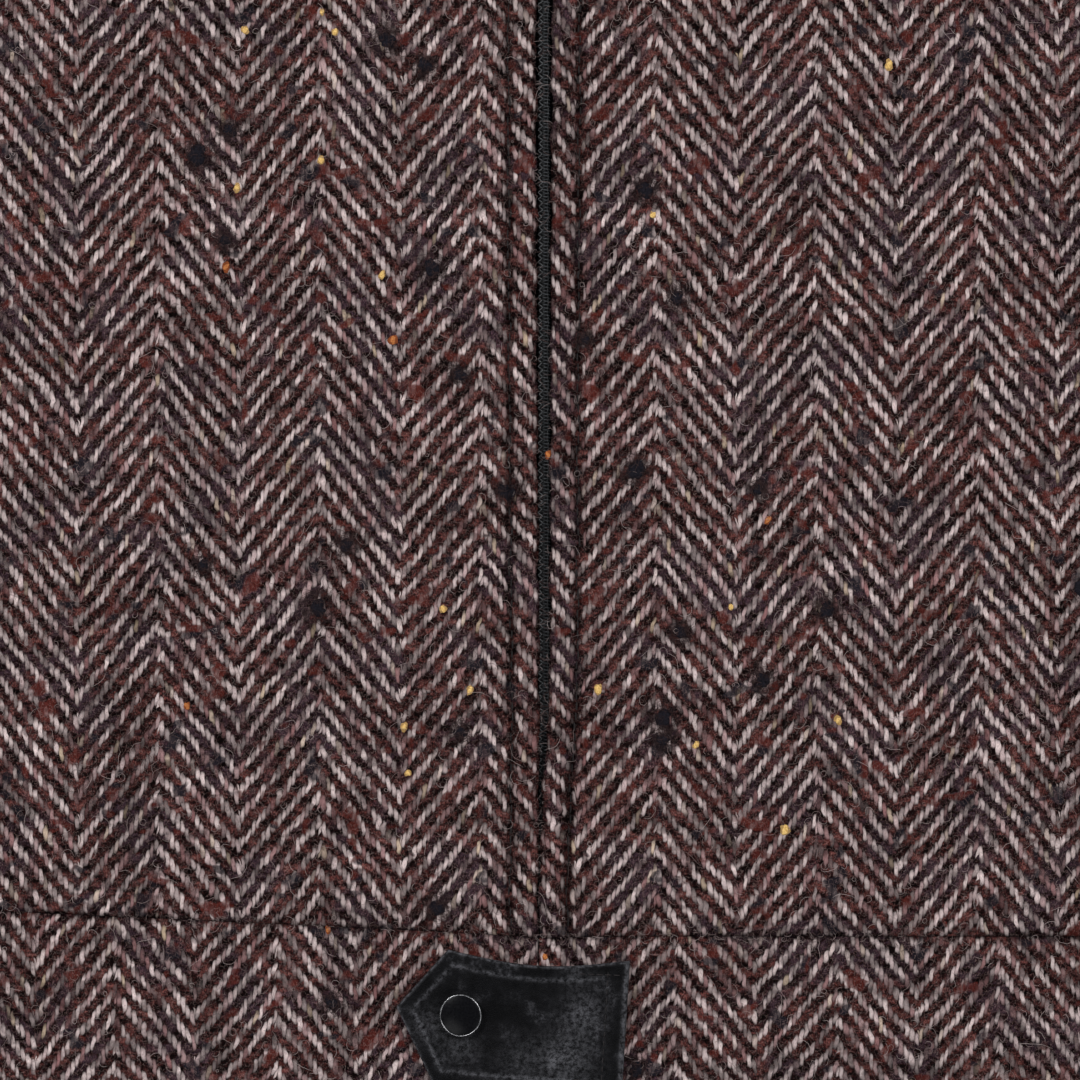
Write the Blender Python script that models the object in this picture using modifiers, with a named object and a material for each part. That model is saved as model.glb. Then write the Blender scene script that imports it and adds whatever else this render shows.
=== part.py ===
"""A long tweed jacket with a waist seam, zipped shut and laid flat on its back.

Metres, +Z up. The back rests on z = 0, the collar points to +Y and +X is the wearer's left.
x = 0 is the line of the zip, and y = 0 lies halfway between the hem and the collar's top.
"""

import math

import bmesh
import bpy
import numpy as np
from mathutils import Euler, Vector

# Cloth
WALL = 0.0025  # thickness of the tweed
GAP = 0.0003  # between pieces, at seams and between layers

# Body lengths, all along Y
SKIRT = 0.380  # hem to waist seam
BODICE = 0.490  # waist seam to the neck end of the shoulder seam
SHOULDER_DROP = 0.045  # neck end to sleeve end of the shoulder seam
ARMHOLE = 0.215  # sleeve end of the shoulder seam to the underarm
NECK_DROP_FRONT = 0.090
NECK_DROP_BACK = 0.020
COLLAR = 0.055  # height of the stand collar
COLLAR_LEAN = math.radians(10)  # inward lean of the collar's side folds

# Body half widths
HEM_HALF = 0.300
WAIST_HALF = 0.252
CHEST_HALF = 0.270
SHOULDER_HALF = 0.230
NECK_HALF = 0.085
ARMHOLE_TURN = math.radians(25)  # the armhole leaves the underarm this far in from straight up
ARMHOLE_REACH = 0.070
ARMHOLE_HOLLOW = 0.032  # how far its upper handle lies inside the shoulder tip

# Where those lengths put each level
FOLD_RADIUS = WALL + GAP / 2  # outer radius of the collar's side folds
ABOVE_SHOULDER = GAP + COLLAR * math.cos(COLLAR_LEAN) + FOLD_RADIUS * math.sin(COLLAR_LEAN)
HALF_LENGTH = (SKIRT + BODICE + ABOVE_SHOULDER) / 2
HEM_Y = -HALF_LENGTH
WAIST_Y = HEM_Y + SKIRT
SHOULDER_Y = WAIST_Y + BODICE
NECK_Y = SHOULDER_Y - NECK_DROP_FRONT
COLLAR_TOP_Y = NECK_Y + GAP + COLLAR
UNDERARM_Y = SHOULDER_Y - SHOULDER_DROP - ARMHOLE
SEAM_TILT = 0.047  # the waist seam climbs towards the wearer's right by this slope
SEAM_TILT_REACH = 0.120  # and the climb dies out this far above and below it

# Sleeves
UNDERARM_SEAM = 0.380
UPPER_ARM_TURN = math.radians(30)  # from the body's line, at the underarm
FOREARM_TURN = math.radians(14)
SLEEVE_TURN = math.radians(19)  # from the underarm to the cuff
CUFF = 0.140
CAP_SLOPE = math.radians(20)  # the outer edge leaves the shoulder at this slope
CAP_REACH = 0.205
FOREARM_REACH = 0.300
INNER_REACH = 0.140

# Zip, in layers from the back panel up
BACK_TOP = WALL
TAPE_BOTTOM = 0.0040
TAPE_TOP = 0.0046
CHAIN_BOTTOM = TAPE_TOP + GAP
CHAIN_TOP = 0.0068
CHAIN_HALF = 0.0024
CHAIN_ROUND = 0.0006
TAPE_HALF = 0.0155
TAPE_END = 0.004  # bare cloth below the tape at the hem
TAPE_BELOW_COLLAR = 0.002
RETAINER_HALF = 0.0030
RETAINER_LENGTH = 0.0100
STOP_INNER = 0.0013
STOP_OUTER = 0.0031
STOP_LENGTH = 0.0034
OVER_CHAIN = CHAIN_TOP + GAP
OVER_TAPE = TAPE_TOP + GAP
PRESSED = BACK_TOP + GAP  # underside of the front where it lies on the back

# Slider, measured from its middle
SLIDER_Y = COLLAR_TOP_Y - 0.0145
LOWER_PLATE_HALF = 0.0036
SLIDER_HALF_WIDTH = 0.0040
SLIDER_HALF_LENGTH = 0.0045
PLATE = 0.0009
FLANGE = 0.0008
CROWN_Z = OVER_CHAIN  # underside of the slider's upper plate
CROWN_TOP = CROWN_Z + 0.0010
POST_HALF = 0.0008
POST_START = 0.0006
POST_END = 0.0032
BAIL_INNER = 0.0018
BAIL_OUTER = 0.0026
BAIL_HALF = 0.0011
PULL_Z = CROWN_TOP + 0.0011  # the pull's hinge line
PULL_BAR = 0.0007
PULL_EYE_HALF = 0.0029
PULL_END_HALF = 0.0033
PULL_LENGTH = 0.026
PULL_SHOULDER = 0.007  # from here down the pull widens
PULL_WINDOW_HALF = 0.0015
PULL_WINDOW_END = 0.0031

# Leather tab and snap, measured from where the zip crosses the waist seam
TAB_TIP = (-0.0518, -0.0242)
TAB_TILT = math.radians(-3.5)
TAB_LENGTH = 0.0808
TAB_POINT_ABOVE = 0.0169  # length of the pointed end, to its upper and lower corner
TAB_POINT_BELOW = 0.0145
TAB_ABOVE = 0.0212  # height above and below the tip
TAB_BELOW = 0.0262
TAB_SAG = 0.0032  # how far the upper edge dips in its middle
LEATHER = 0.0022
SNAP = (-0.0287, -0.0268)
SNAP_RADIUS = 0.0075
RING_WIDTH = 0.0008
RING_HEIGHT = 0.0010
CAP_RADIUS = 0.0062
CAP_EDGE = 0.0007
CAP_HEIGHT = 0.0026
RING_BEVEL = 0.0003

# The front edges along the zip: level above the waist seam, and x of each edge.
#        level   right_edge  left_edge
ZIP_EDGES = (
    (-0.380, -0.0006, 0.0006),
    (-0.050, -0.0021, -0.0018),
    (0.000, -0.0021, -0.0018),
    (0.055, -0.0012, -0.0009),
    (0.101, -0.0018, 0.0011),
    (0.200, -0.0024, 0.0022),
    (0.329, -0.0028, 0.0028),
    (0.400, -0.0048, 0.0048),
    (0.456, -0.0048, 0.0048),
)

# How high the tab rides over the zip's ridge, along X.
#        x       rise
TAB_RISE = (
    (-0.0375, 0.0000),
    (-0.0205, 0.0024),
    (-0.0050, 0.0043),
    (0.0050, 0.0043),
    (0.0240, 0.0012),
    (0.0310, 0.0008),
)

# Soft ridges of the front: middle, direction from +X, half length, half width and height.
#        x      y_from_waist  turn  half_length  half_width  height
FRONT_FOLDS = (
    (-0.205, 0.205, 118, 0.060, 0.016, 0.0026),
    (0.212, 0.190, 60, 0.070, 0.018, 0.0024),
    (-0.165, 0.300, 62, 0.050, 0.018, 0.0014),
    (0.158, 0.320, 124, 0.045, 0.016, 0.0012),
    (-0.150, 0.045, 155, 0.060, 0.014, 0.0012),
    (0.175, 0.060, 20, 0.070, 0.015, 0.0014),
    (-0.110, -0.150, 97, 0.120, 0.017, 0.0022),
    (-0.205, -0.210, 101, 0.130, 0.022, 0.0030),
    (0.095, -0.190, 85, 0.140, 0.018, 0.0020),
    (0.190, -0.170, 80, 0.120, 0.020, 0.0028),
    (0.245, -0.265, 77, 0.090, 0.014, 0.0018),
)

# Soft ridges of each sleeve: place along and across it from 0 to 1, direction across it, sizes.
#        along  across  turn  half_length  half_width  height
SLEEVE_FOLDS = (
    (0.30, 0.30, 62, 0.050, 0.013, 0.0024),
    (0.47, 0.35, 20, 0.045, 0.011, 0.0026),
    (0.55, 0.60, -14, 0.050, 0.012, 0.0022),
    (0.63, 0.30, 12, 0.040, 0.010, 0.0018),
    (0.84, 0.60, 8, 0.045, 0.012, 0.0014),
)

TWEED = ((0.086, 0.056, 0.055), 0.9, 0.0)
TAPE = ((0.012, 0.011, 0.012), 0.8, 0.0)
COIL = ((0.014, 0.013, 0.015), 0.4, 0.0)
NICKEL = ((0.55, 0.54, 0.52), 0.3, 1.0)
LEATHER_BLACK = ((0.012, 0.012, 0.014), 0.5, 0.0)
LACQUER = ((0.010, 0.010, 0.013), 0.25, 0.0)


# Small geometry


def smooth(start, end, value):
    """0 before start, 1 after end, and an even curve between."""
    t = min(1.0, max(0.0, (value - start) / (end - start)))
    return t * t * (3 - 2 * t)


def along(start, end, t):
    return (start[0] + (end[0] - start[0]) * t, start[1] + (end[1] - start[1]) * t)


def bezier(points, t):
    """The point at t on a Bezier curve of any number of handles."""
    while len(points) > 1:
        points = [along(a, b, t) for a, b in zip(points, points[1:])]
    return points[0]


def joined(first, second, share):
    """One edge made of two, the first taking this share of it."""

    def edge(t):
        return first(t / share) if t < share else second((t - share) / (1 - share))

    return edge


def column(table, value, index):
    """A table's column, read at a value of its first column."""
    return float(np.interp(value, [row[0] for row in table], [row[index] for row in table]))


def patch(bottom, top, left, right, shares_across, shares_up):
    """Rows of points that fill four edges (a Coons patch)."""
    corners = (bottom(0), bottom(1), top(0), top(1))
    rows = []
    for v in shares_up:
        row = []
        for u in shares_across:
            point = []
            for k in range(2):
                ruled = (1 - v) * bottom(u)[k] + v * top(u)[k] + (1 - u) * left(v)[k] + u * right(v)[k]
                flat = (1 - v) * ((1 - u) * corners[0][k] + u * corners[1][k])
                flat += v * ((1 - u) * corners[2][k] + u * corners[3][k])
                point.append(ruled - flat)
            row.append(tuple(point))
        rows.append(row)
    return rows


def steps(start, end, count):
    return [start + (end - start) * k / count for k in range(count + 1)]


# The jacket's lines, for side +1 (the wearer's left) or -1


def neck_point(side):
    return (side * NECK_HALF, SHOULDER_Y)


def shoulder_tip(side):
    return (side * SHOULDER_HALF, SHOULDER_Y - SHOULDER_DROP)


def underarm(side):
    return (side * CHEST_HALF, UNDERARM_Y)


def zip_edge(side, y):
    return column(ZIP_EDGES, y - WAIST_Y, 2 if side > 0 else 1)


def neck_curve(side, drop, t):
    """From the middle of the neck, at 0, to the shoulder seam, at 1."""
    turn = t * math.pi / 2
    return (side * NECK_HALF * math.sin(turn), SHOULDER_Y - drop * math.cos(turn))


def neck_from_zip(side, share):
    """The share of the front neck curve, counted from the zip edge, as a share of the whole."""
    start = math.asin(abs(zip_edge(side, NECK_Y)) / NECK_HALF) * 2 / math.pi
    return start + (1 - start) * share


def side_seam(side, t):
    """From the waist seam up to the underarm."""
    waist = (side * WAIST_HALF, WAIST_Y)
    middle = (side * WAIST_HALF, WAIST_Y + 0.4 * (UNDERARM_Y - WAIST_Y))
    return bezier([waist, middle, underarm(side)], t)


def armhole(side, t):
    """From the underarm up to the shoulder tip."""
    tip = shoulder_tip(side)
    low = (
        side * (CHEST_HALF - ARMHOLE_REACH * math.sin(ARMHOLE_TURN)),
        UNDERARM_Y + ARMHOLE_REACH * math.cos(ARMHOLE_TURN),
    )
    high = (side * (SHOULDER_HALF - ARMHOLE_HOLLOW), UNDERARM_Y + 0.6 * ARMHOLE)
    return bezier([underarm(side), low, high, tip], t)


def skirt_side(side, t):
    """From the hem up to the waist seam."""
    waist = (side * WAIST_HALF, WAIST_Y)
    middle = (side * (0.3 * HEM_HALF + 0.7 * WAIST_HALF), WAIST_Y - 0.5 * SKIRT)
    return bezier([(side * HEM_HALF, HEM_Y), middle, waist], t)


def tilted(x, y):
    """A point of the body, moved with the slant of the waist seam."""
    climb = SEAM_TILT * max(0.0, -x)
    return (x, y + climb * math.exp(-(((y - WAIST_Y) / SEAM_TILT_REACH) ** 2)))


# Heights


def ridge(x, y, middle, turn, half_length, half_width, height):
    """The height of one soft ridge at a point."""
    dx, dy = x - middle[0], y - middle[1]
    c, s = math.cos(math.radians(turn)), math.sin(math.radians(turn))
    lengthwise, crosswise = (dx * c + dy * s) / half_length, (dy * c - dx * s) / half_width
    return height * math.exp(-(lengthwise**2) - crosswise**2)


def front_folds(x, y):
    return sum(ridge(x, y, (fx, WAIST_Y + fy), *sizes) for fx, fy, *sizes in FRONT_FOLDS)


def zip_rise(x):
    """How far the zip under the front edges lifts them."""
    over_tape = (OVER_TAPE - PRESSED) * (1 - smooth(0.019, 0.029, abs(x)))
    over_chain = (OVER_CHAIN - OVER_TAPE) * (1 - smooth(0.0045, 0.0090, abs(x)))
    return over_tape + over_chain


def front_underside(x, y):
    return PRESSED + zip_rise(x) + front_folds(x, y)


def tab_underside(x, y):
    return PRESSED + WALL + GAP + column(TAB_RISE, x, 1) + front_folds(x, y)


# Objects


def collection(name):
    made = bpy.data.collections.new(name)
    bpy.context.scene.collection.children.link(made)
    return made


def finish(obj, look):
    """Gives an object its own material and puts it with the jacket's pieces."""
    colour, roughness, metallic = look
    material = bpy.data.materials.new(obj.name)
    material.use_nodes = True
    shader = material.node_tree.nodes["Principled BSDF"]
    shader.inputs["Base Color"].default_value = (*colour, 1)
    shader.inputs["Roughness"].default_value = roughness
    shader.inputs["Metallic"].default_value = metallic
    obj.data.materials.clear()
    obj.data.materials.append(material)
    for home in list(obj.users_collection):
        home.objects.unlink(obj)
    JACKET.objects.link(obj)
    return obj


def mesh_object(name, points, faces):
    mesh = bpy.data.meshes.new(name)
    mesh.from_pydata([tuple(p) for p in points], [], faces)
    mesh.update()
    obj = bpy.data.objects.new(name, mesh)
    bpy.context.scene.collection.objects.link(obj)
    return obj


def thickened(obj, thickness):
    """Solidify, upward from a surface that faces up."""
    solid = obj.modifiers.new("thickness", "SOLIDIFY")
    solid.thickness = thickness
    solid.offset = 1
    solid.use_even_offset = True
    return obj


def sheet(name, rows, underside, thickness, look):
    """An open surface through rows of points, facing up, then thickened."""
    width = len(rows[0])
    points = [(x, y, underside(x, y)) for row in rows for x, y in row]
    faces = []
    for r in range(len(rows) - 1):
        for c in range(width - 1):
            a = r * width + c
            faces.append((a, a + 1, a + width + 1, a + width))
    obj = mesh_object(name, points, faces)
    bm = bmesh.new()
    bm.from_mesh(obj.data)
    if sum(face.normal.z for face in bm.faces) < 0:
        bmesh.ops.reverse_faces(bm, faces=bm.faces[:])
    bm.to_mesh(obj.data)
    bm.free()
    return finish(thickened(obj, thickness), look)


def body_rows(bottom, top, left, right, across, up):
    return [[tilted(x, y) for x, y in row] for row in patch(bottom, top, left, right, across, up)]


# Shares of a front's width, close together by the zip
FRONT_COLUMNS = [0, 0.016, 0.036, 0.063, 0.108] + steps(0.18, 1.0, 10)
NECK_SHARE = 0.74  # where the zip edge turns into the neck
UNDERARM_SHARE = 0.50  # where the side seam turns into the armhole

# Places on seams that two pieces share, so that their edges match
FRONT_NECK = [0, 0.050, 0.110] + steps(0.2, 1, 7)
BACK_NECK = steps(-1, 1, 12)
FRONT_ROWS = steps(UNDERARM_SHARE, NECK_SHARE, 5)
FRONT_ROWS += [NECK_SHARE + (1 - NECK_SHARE) * t for t in FRONT_NECK[1:]]
BACK_ROWS = steps(UNDERARM_SHARE, 1, 8)


def armhole_places(rows):
    return [(v - UNDERARM_SHARE) / (1 - UNDERARM_SHARE) for v in rows]


def front_bodice(name, side):
    low = WAIST_Y + GAP / 2

    def bottom(u):
        return along((zip_edge(side, low), low), (side * WAIST_HALF, low), u)

    def opening(t):
        y = low + (NECK_Y - low) * t
        return (zip_edge(side, y), y)

    def neck(t):
        return neck_curve(side, NECK_DROP_FRONT, neck_from_zip(side, t))

    def seam(t):
        x, y = side_seam(side, t)
        return (x, max(y, low))

    rows = body_rows(
        bottom,
        lambda u: along(neck_point(side), shoulder_tip(side), u),
        joined(opening, neck, NECK_SHARE),
        joined(seam, lambda t: armhole(side, t), UNDERARM_SHARE),
        FRONT_COLUMNS,
        steps(0, UNDERARM_SHARE, 12)[:-1] + FRONT_ROWS,
    )
    return sheet(name, rows, front_underside, WALL, TWEED)


def front_skirt(name, side):
    high = WAIST_Y - GAP / 2

    def edge(t):
        y = HEM_Y + (high - HEM_Y) * t
        return (zip_edge(side, y), y)

    def seam(t):
        x, y = skirt_side(side, t)
        return (x, min(y, high))

    rows = body_rows(
        lambda u: along(edge(0), (side * HEM_HALF, HEM_Y), u),
        lambda u: along(edge(1), (side * WAIST_HALF, high), u),
        edge,
        seam,
        FRONT_COLUMNS,
        steps(0, 1, 14),
    )
    return sheet(name, rows, front_underside, WALL, TWEED)


def back_bodice(name):
    low = WAIST_Y + GAP / 2
    shoulder_share = 0.5 * (SHOULDER_HALF - NECK_HALF) / SHOULDER_HALF

    def top(u):
        side = 1 if u > 0.5 else -1
        out = abs(2 * u - 1)
        inner = 1 - 2 * shoulder_share
        if out > inner:
            return along(neck_point(side), shoulder_tip(side), (out - inner) / (1 - inner))
        return neck_curve(side, NECK_DROP_BACK, out / inner)

    def edge(side):
        def seam(t):
            x, y = side_seam(side, t)
            return (x, max(y, low))

        return joined(seam, lambda t: armhole(side, t), UNDERARM_SHARE)

    across = steps(0, shoulder_share, 3)[:-1]
    across += [0.5 + (0.5 - shoulder_share) * t for t in BACK_NECK]
    across += steps(1 - shoulder_share, 1, 3)[1:]
    up = steps(0, UNDERARM_SHARE, 4)[:-1] + BACK_ROWS
    rows = body_rows(
        lambda u: along((-WAIST_HALF, low), (WAIST_HALF, low), u), top, edge(-1), edge(1), across, up
    )
    return sheet(name, rows, lambda x, y: 0.0, WALL, TWEED)


def back_skirt(name):
    high = WAIST_Y - GAP / 2

    def edge(side):
        def seam(t):
            x, y = skirt_side(side, t)
            return (x, min(y, high))

        return seam

    rows = body_rows(
        lambda u: along((-HEM_HALF, HEM_Y), (HEM_HALF, HEM_Y), u),
        lambda u: along((-WAIST_HALF, high), (WAIST_HALF, high), u),
        edge(-1),
        edge(1),
        steps(0, 1, 8),
        steps(0, 1, 8),
    )
    return sheet(name, rows, lambda x, y: 0.0, WALL, TWEED)


def sleeve_edges(side):
    """The armhole, cuff, inner and outer edges of a sleeve, each from 0 to 1."""

    def armhole_edge(t):
        step = 0.01
        a, b = armhole(side, max(0, t - step)), armhole(side, min(1, t + step))
        dx, dy = b[0] - a[0], b[1] - a[1]
        size = math.hypot(dx, dy)
        x, y = armhole(side, t)
        return (x + side * GAP * dy / size, y - side * GAP * dx / size)

    start_in, start_out = armhole_edge(0), armhole_edge(1)

    def down(turn, reach):
        return (side * reach * math.sin(turn), -reach * math.cos(turn))

    def plus(point, step):
        return (point[0] + step[0], point[1] + step[1])

    cuff_in = plus(start_in, down(SLEEVE_TURN, UNDERARM_SEAM))
    cuff_out = plus(cuff_in, (side * CUFF * math.cos(FOREARM_TURN), CUFF * math.sin(FOREARM_TURN)))
    inner_high = plus(start_in, down(UPPER_ARM_TURN, INNER_REACH))
    inner_low = plus(cuff_in, down(FOREARM_TURN, -INNER_REACH))
    outer_high = plus(start_out, (side * CAP_REACH * math.cos(CAP_SLOPE), -CAP_REACH * math.sin(CAP_SLOPE)))
    outer_low = plus(cuff_out, down(FOREARM_TURN, -FOREARM_REACH))
    return (
        armhole_edge,
        lambda t: along(cuff_in, cuff_out, t),
        lambda t: bezier([start_in, inner_high, inner_low, cuff_in], t),
        lambda t: bezier([start_out, outer_high, outer_low, cuff_out], t),
    )


def sleeve_rows(side, across, up):
    top, cuff, inner, outer = sleeve_edges(side)
    return patch(top, cuff, inner, outer, across, up)


def sleeve_folds(side):
    """The height of a sleeve's ridges, with each ridge set in the sleeve's own directions."""
    placed = []
    for share_along, share_across, turn, *sizes in SLEEVE_FOLDS:
        middle = sleeve_rows(side, [share_across], [share_along])[0][0]
        placed.append((middle, side * turn, *sizes))
    return lambda x, y: sum(ridge(x, y, *fold) for fold in placed)


def upper_sleeve(name, side):
    folds = sleeve_folds(side)
    rows = sleeve_rows(side, armhole_places(FRONT_ROWS), steps(0, 1, 18))
    return sheet(name, rows, lambda x, y: PRESSED + folds(x, y), WALL, TWEED)


def under_sleeve(name, side):
    rows = sleeve_rows(side, armhole_places(BACK_ROWS), steps(0, 1, 14))
    return sheet(name, rows, lambda x, y: 0.0, WALL, TWEED)


def collar_section(side, drop, t):
    """The neck edge and top edge of the collar, over a point of the neck curve."""
    x, y = neck_curve(side, drop, t)
    lean = COLLAR_LEAN * math.sin(t * math.pi / 2)
    low = (x - side * GAP * math.sin(t * math.pi / 2), y + GAP)
    return low, (low[0] - side * COLLAR * math.sin(lean), low[1] + COLLAR * math.cos(lean))


def collar(name):
    """One strip: from the zip round one side fold, behind the neck, and round the other to the zip."""
    rings = []

    def flat(side, drop, t, inner_z, outer_z):
        low, high = collar_section(side, drop, t)
        rings.append(
            [(*low, inner_z(*low)), (*high, inner_z(*high)), (*high, outer_z(*high)), (*low, outer_z(*low))]
        )

    def fold(side, turn):
        low, high = collar_section(side, NECK_DROP_FRONT, 1)
        middle = BACK_TOP + GAP / 2
        ring = []
        for (x, y), radius in ((low, GAP / 2), (high, GAP / 2), (high, FOLD_RADIUS), (low, FOLD_RADIUS)):
            out = radius * math.cos(turn)
            x, y = x + side * out * math.cos(COLLAR_LEAN), y + out * math.sin(COLLAR_LEAN)
            ring.append((x, y, middle + radius * math.sin(turn)))
        rings.append(ring)

    def front(side, shares):
        for t in shares:
            flat(side, NECK_DROP_FRONT, t, front_underside, lambda x, y: front_underside(x, y) + WALL)

    shares = [neck_from_zip(1, share) for share in FRONT_NECK]
    turns = steps(math.pi / 2, -math.pi / 2, 6)[1:-1]
    front(1, shares)
    for turn in turns:
        fold(1, turn)
    for t in reversed(BACK_NECK):
        flat(math.copysign(1, t), NECK_DROP_BACK, abs(t), lambda x, y: BACK_TOP, lambda x, y: 0.0)
    for turn in reversed(turns):
        fold(-1, turn)
    front(-1, reversed(shares))

    points = [point for ring in rings for point in ring]
    faces = [(3, 2, 1, 0), tuple(len(points) - 4 + k for k in range(4))]
    for r in range(len(rings) - 1):
        for k in range(4):
            a, b = 4 * r + k, 4 * r + (k + 1) % 4
            faces.append((a, b, b + 4, a + 4))
    obj = mesh_object(name, points, faces)
    bm = bmesh.new()
    bm.from_mesh(obj.data)
    bmesh.ops.recalc_face_normals(bm, faces=bm.faces[:])
    bm.to_mesh(obj.data)
    bm.free()
    return finish(obj, TWEED)


def block(name, low, high, bevel=0.0):
    """A box from its lowest and highest corners, with rounded edges if asked."""
    bm = bmesh.new()
    bmesh.ops.create_cube(bm, size=1)
    for vert in bm.verts:
        vert.co = Vector([(a + b) / 2 + (b - a) * c for a, b, c in zip(low, high, vert.co)])
    mesh = bpy.data.meshes.new(name)
    bm.to_mesh(mesh)
    bm.free()
    obj = bpy.data.objects.new(name, mesh)
    bpy.context.scene.collection.objects.link(obj)
    if bevel:
        rounded(obj, bevel, 2)
    return obj


def rounded(obj, width, segments):
    bevel = obj.modifiers.new("rounded", "BEVEL")
    bevel.width = width
    bevel.segments = segments
    bevel.limit_method = "ANGLE"
    bevel.angle_limit = math.radians(50)
    return obj


def flat_outline(name, outlines, thickness, location=(0, 0, 0), rotation=(0, 0, 0)):
    """A flat piece from its outline, and holes if there are any, as a 2D curve."""
    curve = bpy.data.curves.new(name, "CURVE")
    curve.dimensions = "2D"
    curve.fill_mode = "BOTH"
    curve.extrude = thickness / 2
    for outline in outlines:
        spline = curve.splines.new("POLY")
        spline.points.add(len(outline) - 1)
        for point, (x, y) in zip(spline.points, outline):
            point.co = (x, y, 0, 1)
        spline.use_cyclic_u = True
    obj = bpy.data.objects.new(name, curve)
    obj.location = location
    obj.rotation_euler = rotation
    bpy.context.scene.collection.objects.link(obj)
    return obj


def as_mesh(obj):
    """The evaluated curve as a closed mesh object in the same place."""
    bpy.context.view_layer.update()
    mesh = bpy.data.meshes.new_from_object(obj.evaluated_get(bpy.context.evaluated_depsgraph_get()))
    made = bpy.data.objects.new(obj.name + "_mesh", mesh)
    made.matrix_world = obj.matrix_world
    bm = bmesh.new()
    bm.from_mesh(mesh)
    bmesh.ops.remove_doubles(bm, verts=bm.verts[:], dist=1e-6)
    bmesh.ops.recalc_face_normals(bm, faces=bm.faces[:])
    bm.to_mesh(mesh)
    bm.free()
    bpy.data.objects.remove(obj)
    bpy.context.scene.collection.objects.link(made)
    return made


def zip_tape(name, side):
    """A tape that swings out round the slider's post."""
    inner, parted = GAP / 2, POST_HALF + GAP + 0.0001
    low, high = HEM_Y + TAPE_END, COLLAR_TOP_Y - TAPE_BELOW_COLLAR
    outline = [
        (side * inner, low),
        (side * TAPE_HALF, low),
        (side * TAPE_HALF, high),
        (side * parted, high),
        (side * parted, SLIDER_Y + POST_START - GAP),
        (side * inner, SLIDER_Y - 0.0015),
    ]
    obj = flat_outline(name, [outline], TAPE_TOP - TAPE_BOTTOM, (0, 0, (TAPE_TOP + TAPE_BOTTOM) / 2))
    return finish(obj, TAPE)


def zip_chain(name):
    low = HEM_Y + TAPE_END + RETAINER_LENGTH + GAP
    obj = block(
        name,
        (-CHAIN_HALF, low, CHAIN_BOTTOM),
        (CHAIN_HALF, SLIDER_Y + POST_START - GAP, CHAIN_TOP),
        CHAIN_ROUND,
    )
    return finish(obj, COIL)


def zip_retainer(name):
    low = HEM_Y + TAPE_END
    obj = block(
        name,
        (-RETAINER_HALF, low, CHAIN_BOTTOM),
        (RETAINER_HALF, low + RETAINER_LENGTH, CHAIN_TOP),
        CHAIN_ROUND,
    )
    return finish(obj, NICKEL)


def zip_stop(name, side):
    low = SLIDER_Y + SLIDER_HALF_LENGTH + GAP
    edges = sorted((side * STOP_INNER, side * STOP_OUTER))
    obj = block(name, (edges[0], low, CHAIN_BOTTOM), (edges[1], low + STOP_LENGTH, CHAIN_TOP), 0.0004)
    return finish(obj, NICKEL)


def zip_slider(name):
    """Two plates joined by a post, with side walls round the chain and a bail on top."""
    half, overlap, inset = SLIDER_HALF_LENGTH, 0.0001, 0.0004
    wall_x = SLIDER_HALF_WIDTH - overlap - FLANGE
    obj = block(
        name,
        (-SLIDER_HALF_WIDTH, SLIDER_Y - half, CROWN_Z),
        (SLIDER_HALF_WIDTH, SLIDER_Y + half, CROWN_TOP),
        0.0004,
    )
    lower = block(
        "slider_lower_plate",
        (-LOWER_PLATE_HALF, SLIDER_Y - half + inset, PRESSED),
        (LOWER_PLATE_HALF, SLIDER_Y + half - inset, PRESSED + PLATE),
    )
    post = block(
        "slider_post",
        (-POST_HALF, SLIDER_Y + POST_START, PRESSED + PLATE - overlap),
        (POST_HALF, SLIDER_Y + POST_END, CROWN_Z + overlap),
    )
    walls = [
        block(
            f"slider_wall_{k}",
            (min(x, x + k * FLANGE), SLIDER_Y - half + inset, CHAIN_BOTTOM + overlap),
            (max(x, x + k * FLANGE), SLIDER_Y + half - inset, CROWN_Z + overlap),
        )
        for k, x in ((1, wall_x), (-1, -wall_x))
    ]
    foot = CROWN_TOP - overlap - PULL_Z
    outer = [(BAIL_OUTER * math.cos(t), BAIL_OUTER * math.sin(t)) for t in steps(0, math.pi, 10)]
    inner = [(BAIL_INNER * math.cos(t), BAIL_INNER * math.sin(t)) for t in steps(math.pi, 0, 8)]
    outline = [(BAIL_OUTER, foot), *outer, (-BAIL_OUTER, foot)]
    outline += [(-BAIL_INNER, foot), *inner, (BAIL_INNER, foot)]
    upright = (math.pi / 2, 0, math.pi / 2)
    bail = as_mesh(flat_outline("slider_bail", [outline], 2 * BAIL_HALF, (0, SLIDER_Y, PULL_Z), upright))
    for piece in (lower, post, *walls, bail):
        join = obj.modifiers.new(piece.name, "BOOLEAN")
        join.operation = "UNION"
        join.solver = "EXACT"
        join.object = piece
        piece.hide_render = True
        piece.display_type = "WIRE"
        bpy.context.scene.collection.objects.unlink(piece)
        CUTTERS.objects.link(piece)
    return finish(obj, NICKEL)


def zip_pull(name):
    """A flat tab whose eye runs through the bail. Its origin lies on its hinge line."""
    tip = [
        (PULL_END_HALF * math.sin(t), -PULL_LENGTH + PULL_END_HALF - PULL_END_HALF * math.cos(t))
        for t in steps(math.pi / 2, -math.pi / 2, 10)
    ]
    outline = [
        (-PULL_EYE_HALF, PULL_BAR),
        (PULL_EYE_HALF, PULL_BAR),
        (PULL_EYE_HALF, -PULL_SHOULDER),
        *tip,
        (-PULL_EYE_HALF, -PULL_SHOULDER),
    ]
    window = [
        (-PULL_WINDOW_HALF, -PULL_BAR),
        (PULL_WINDOW_HALF, -PULL_BAR),
        (PULL_WINDOW_HALF, -PULL_WINDOW_END),
        (-PULL_WINDOW_HALF, -PULL_WINDOW_END),
    ]
    obj = flat_outline(name, [outline, window], 2 * PULL_BAR, (0, SLIDER_Y, PULL_Z))
    weld = obj.modifiers.new("caps", "WELD")
    weld.merge_threshold = 1e-5
    rounded(obj, 0.0003, 2)
    return finish(obj, NICKEL)


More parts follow.
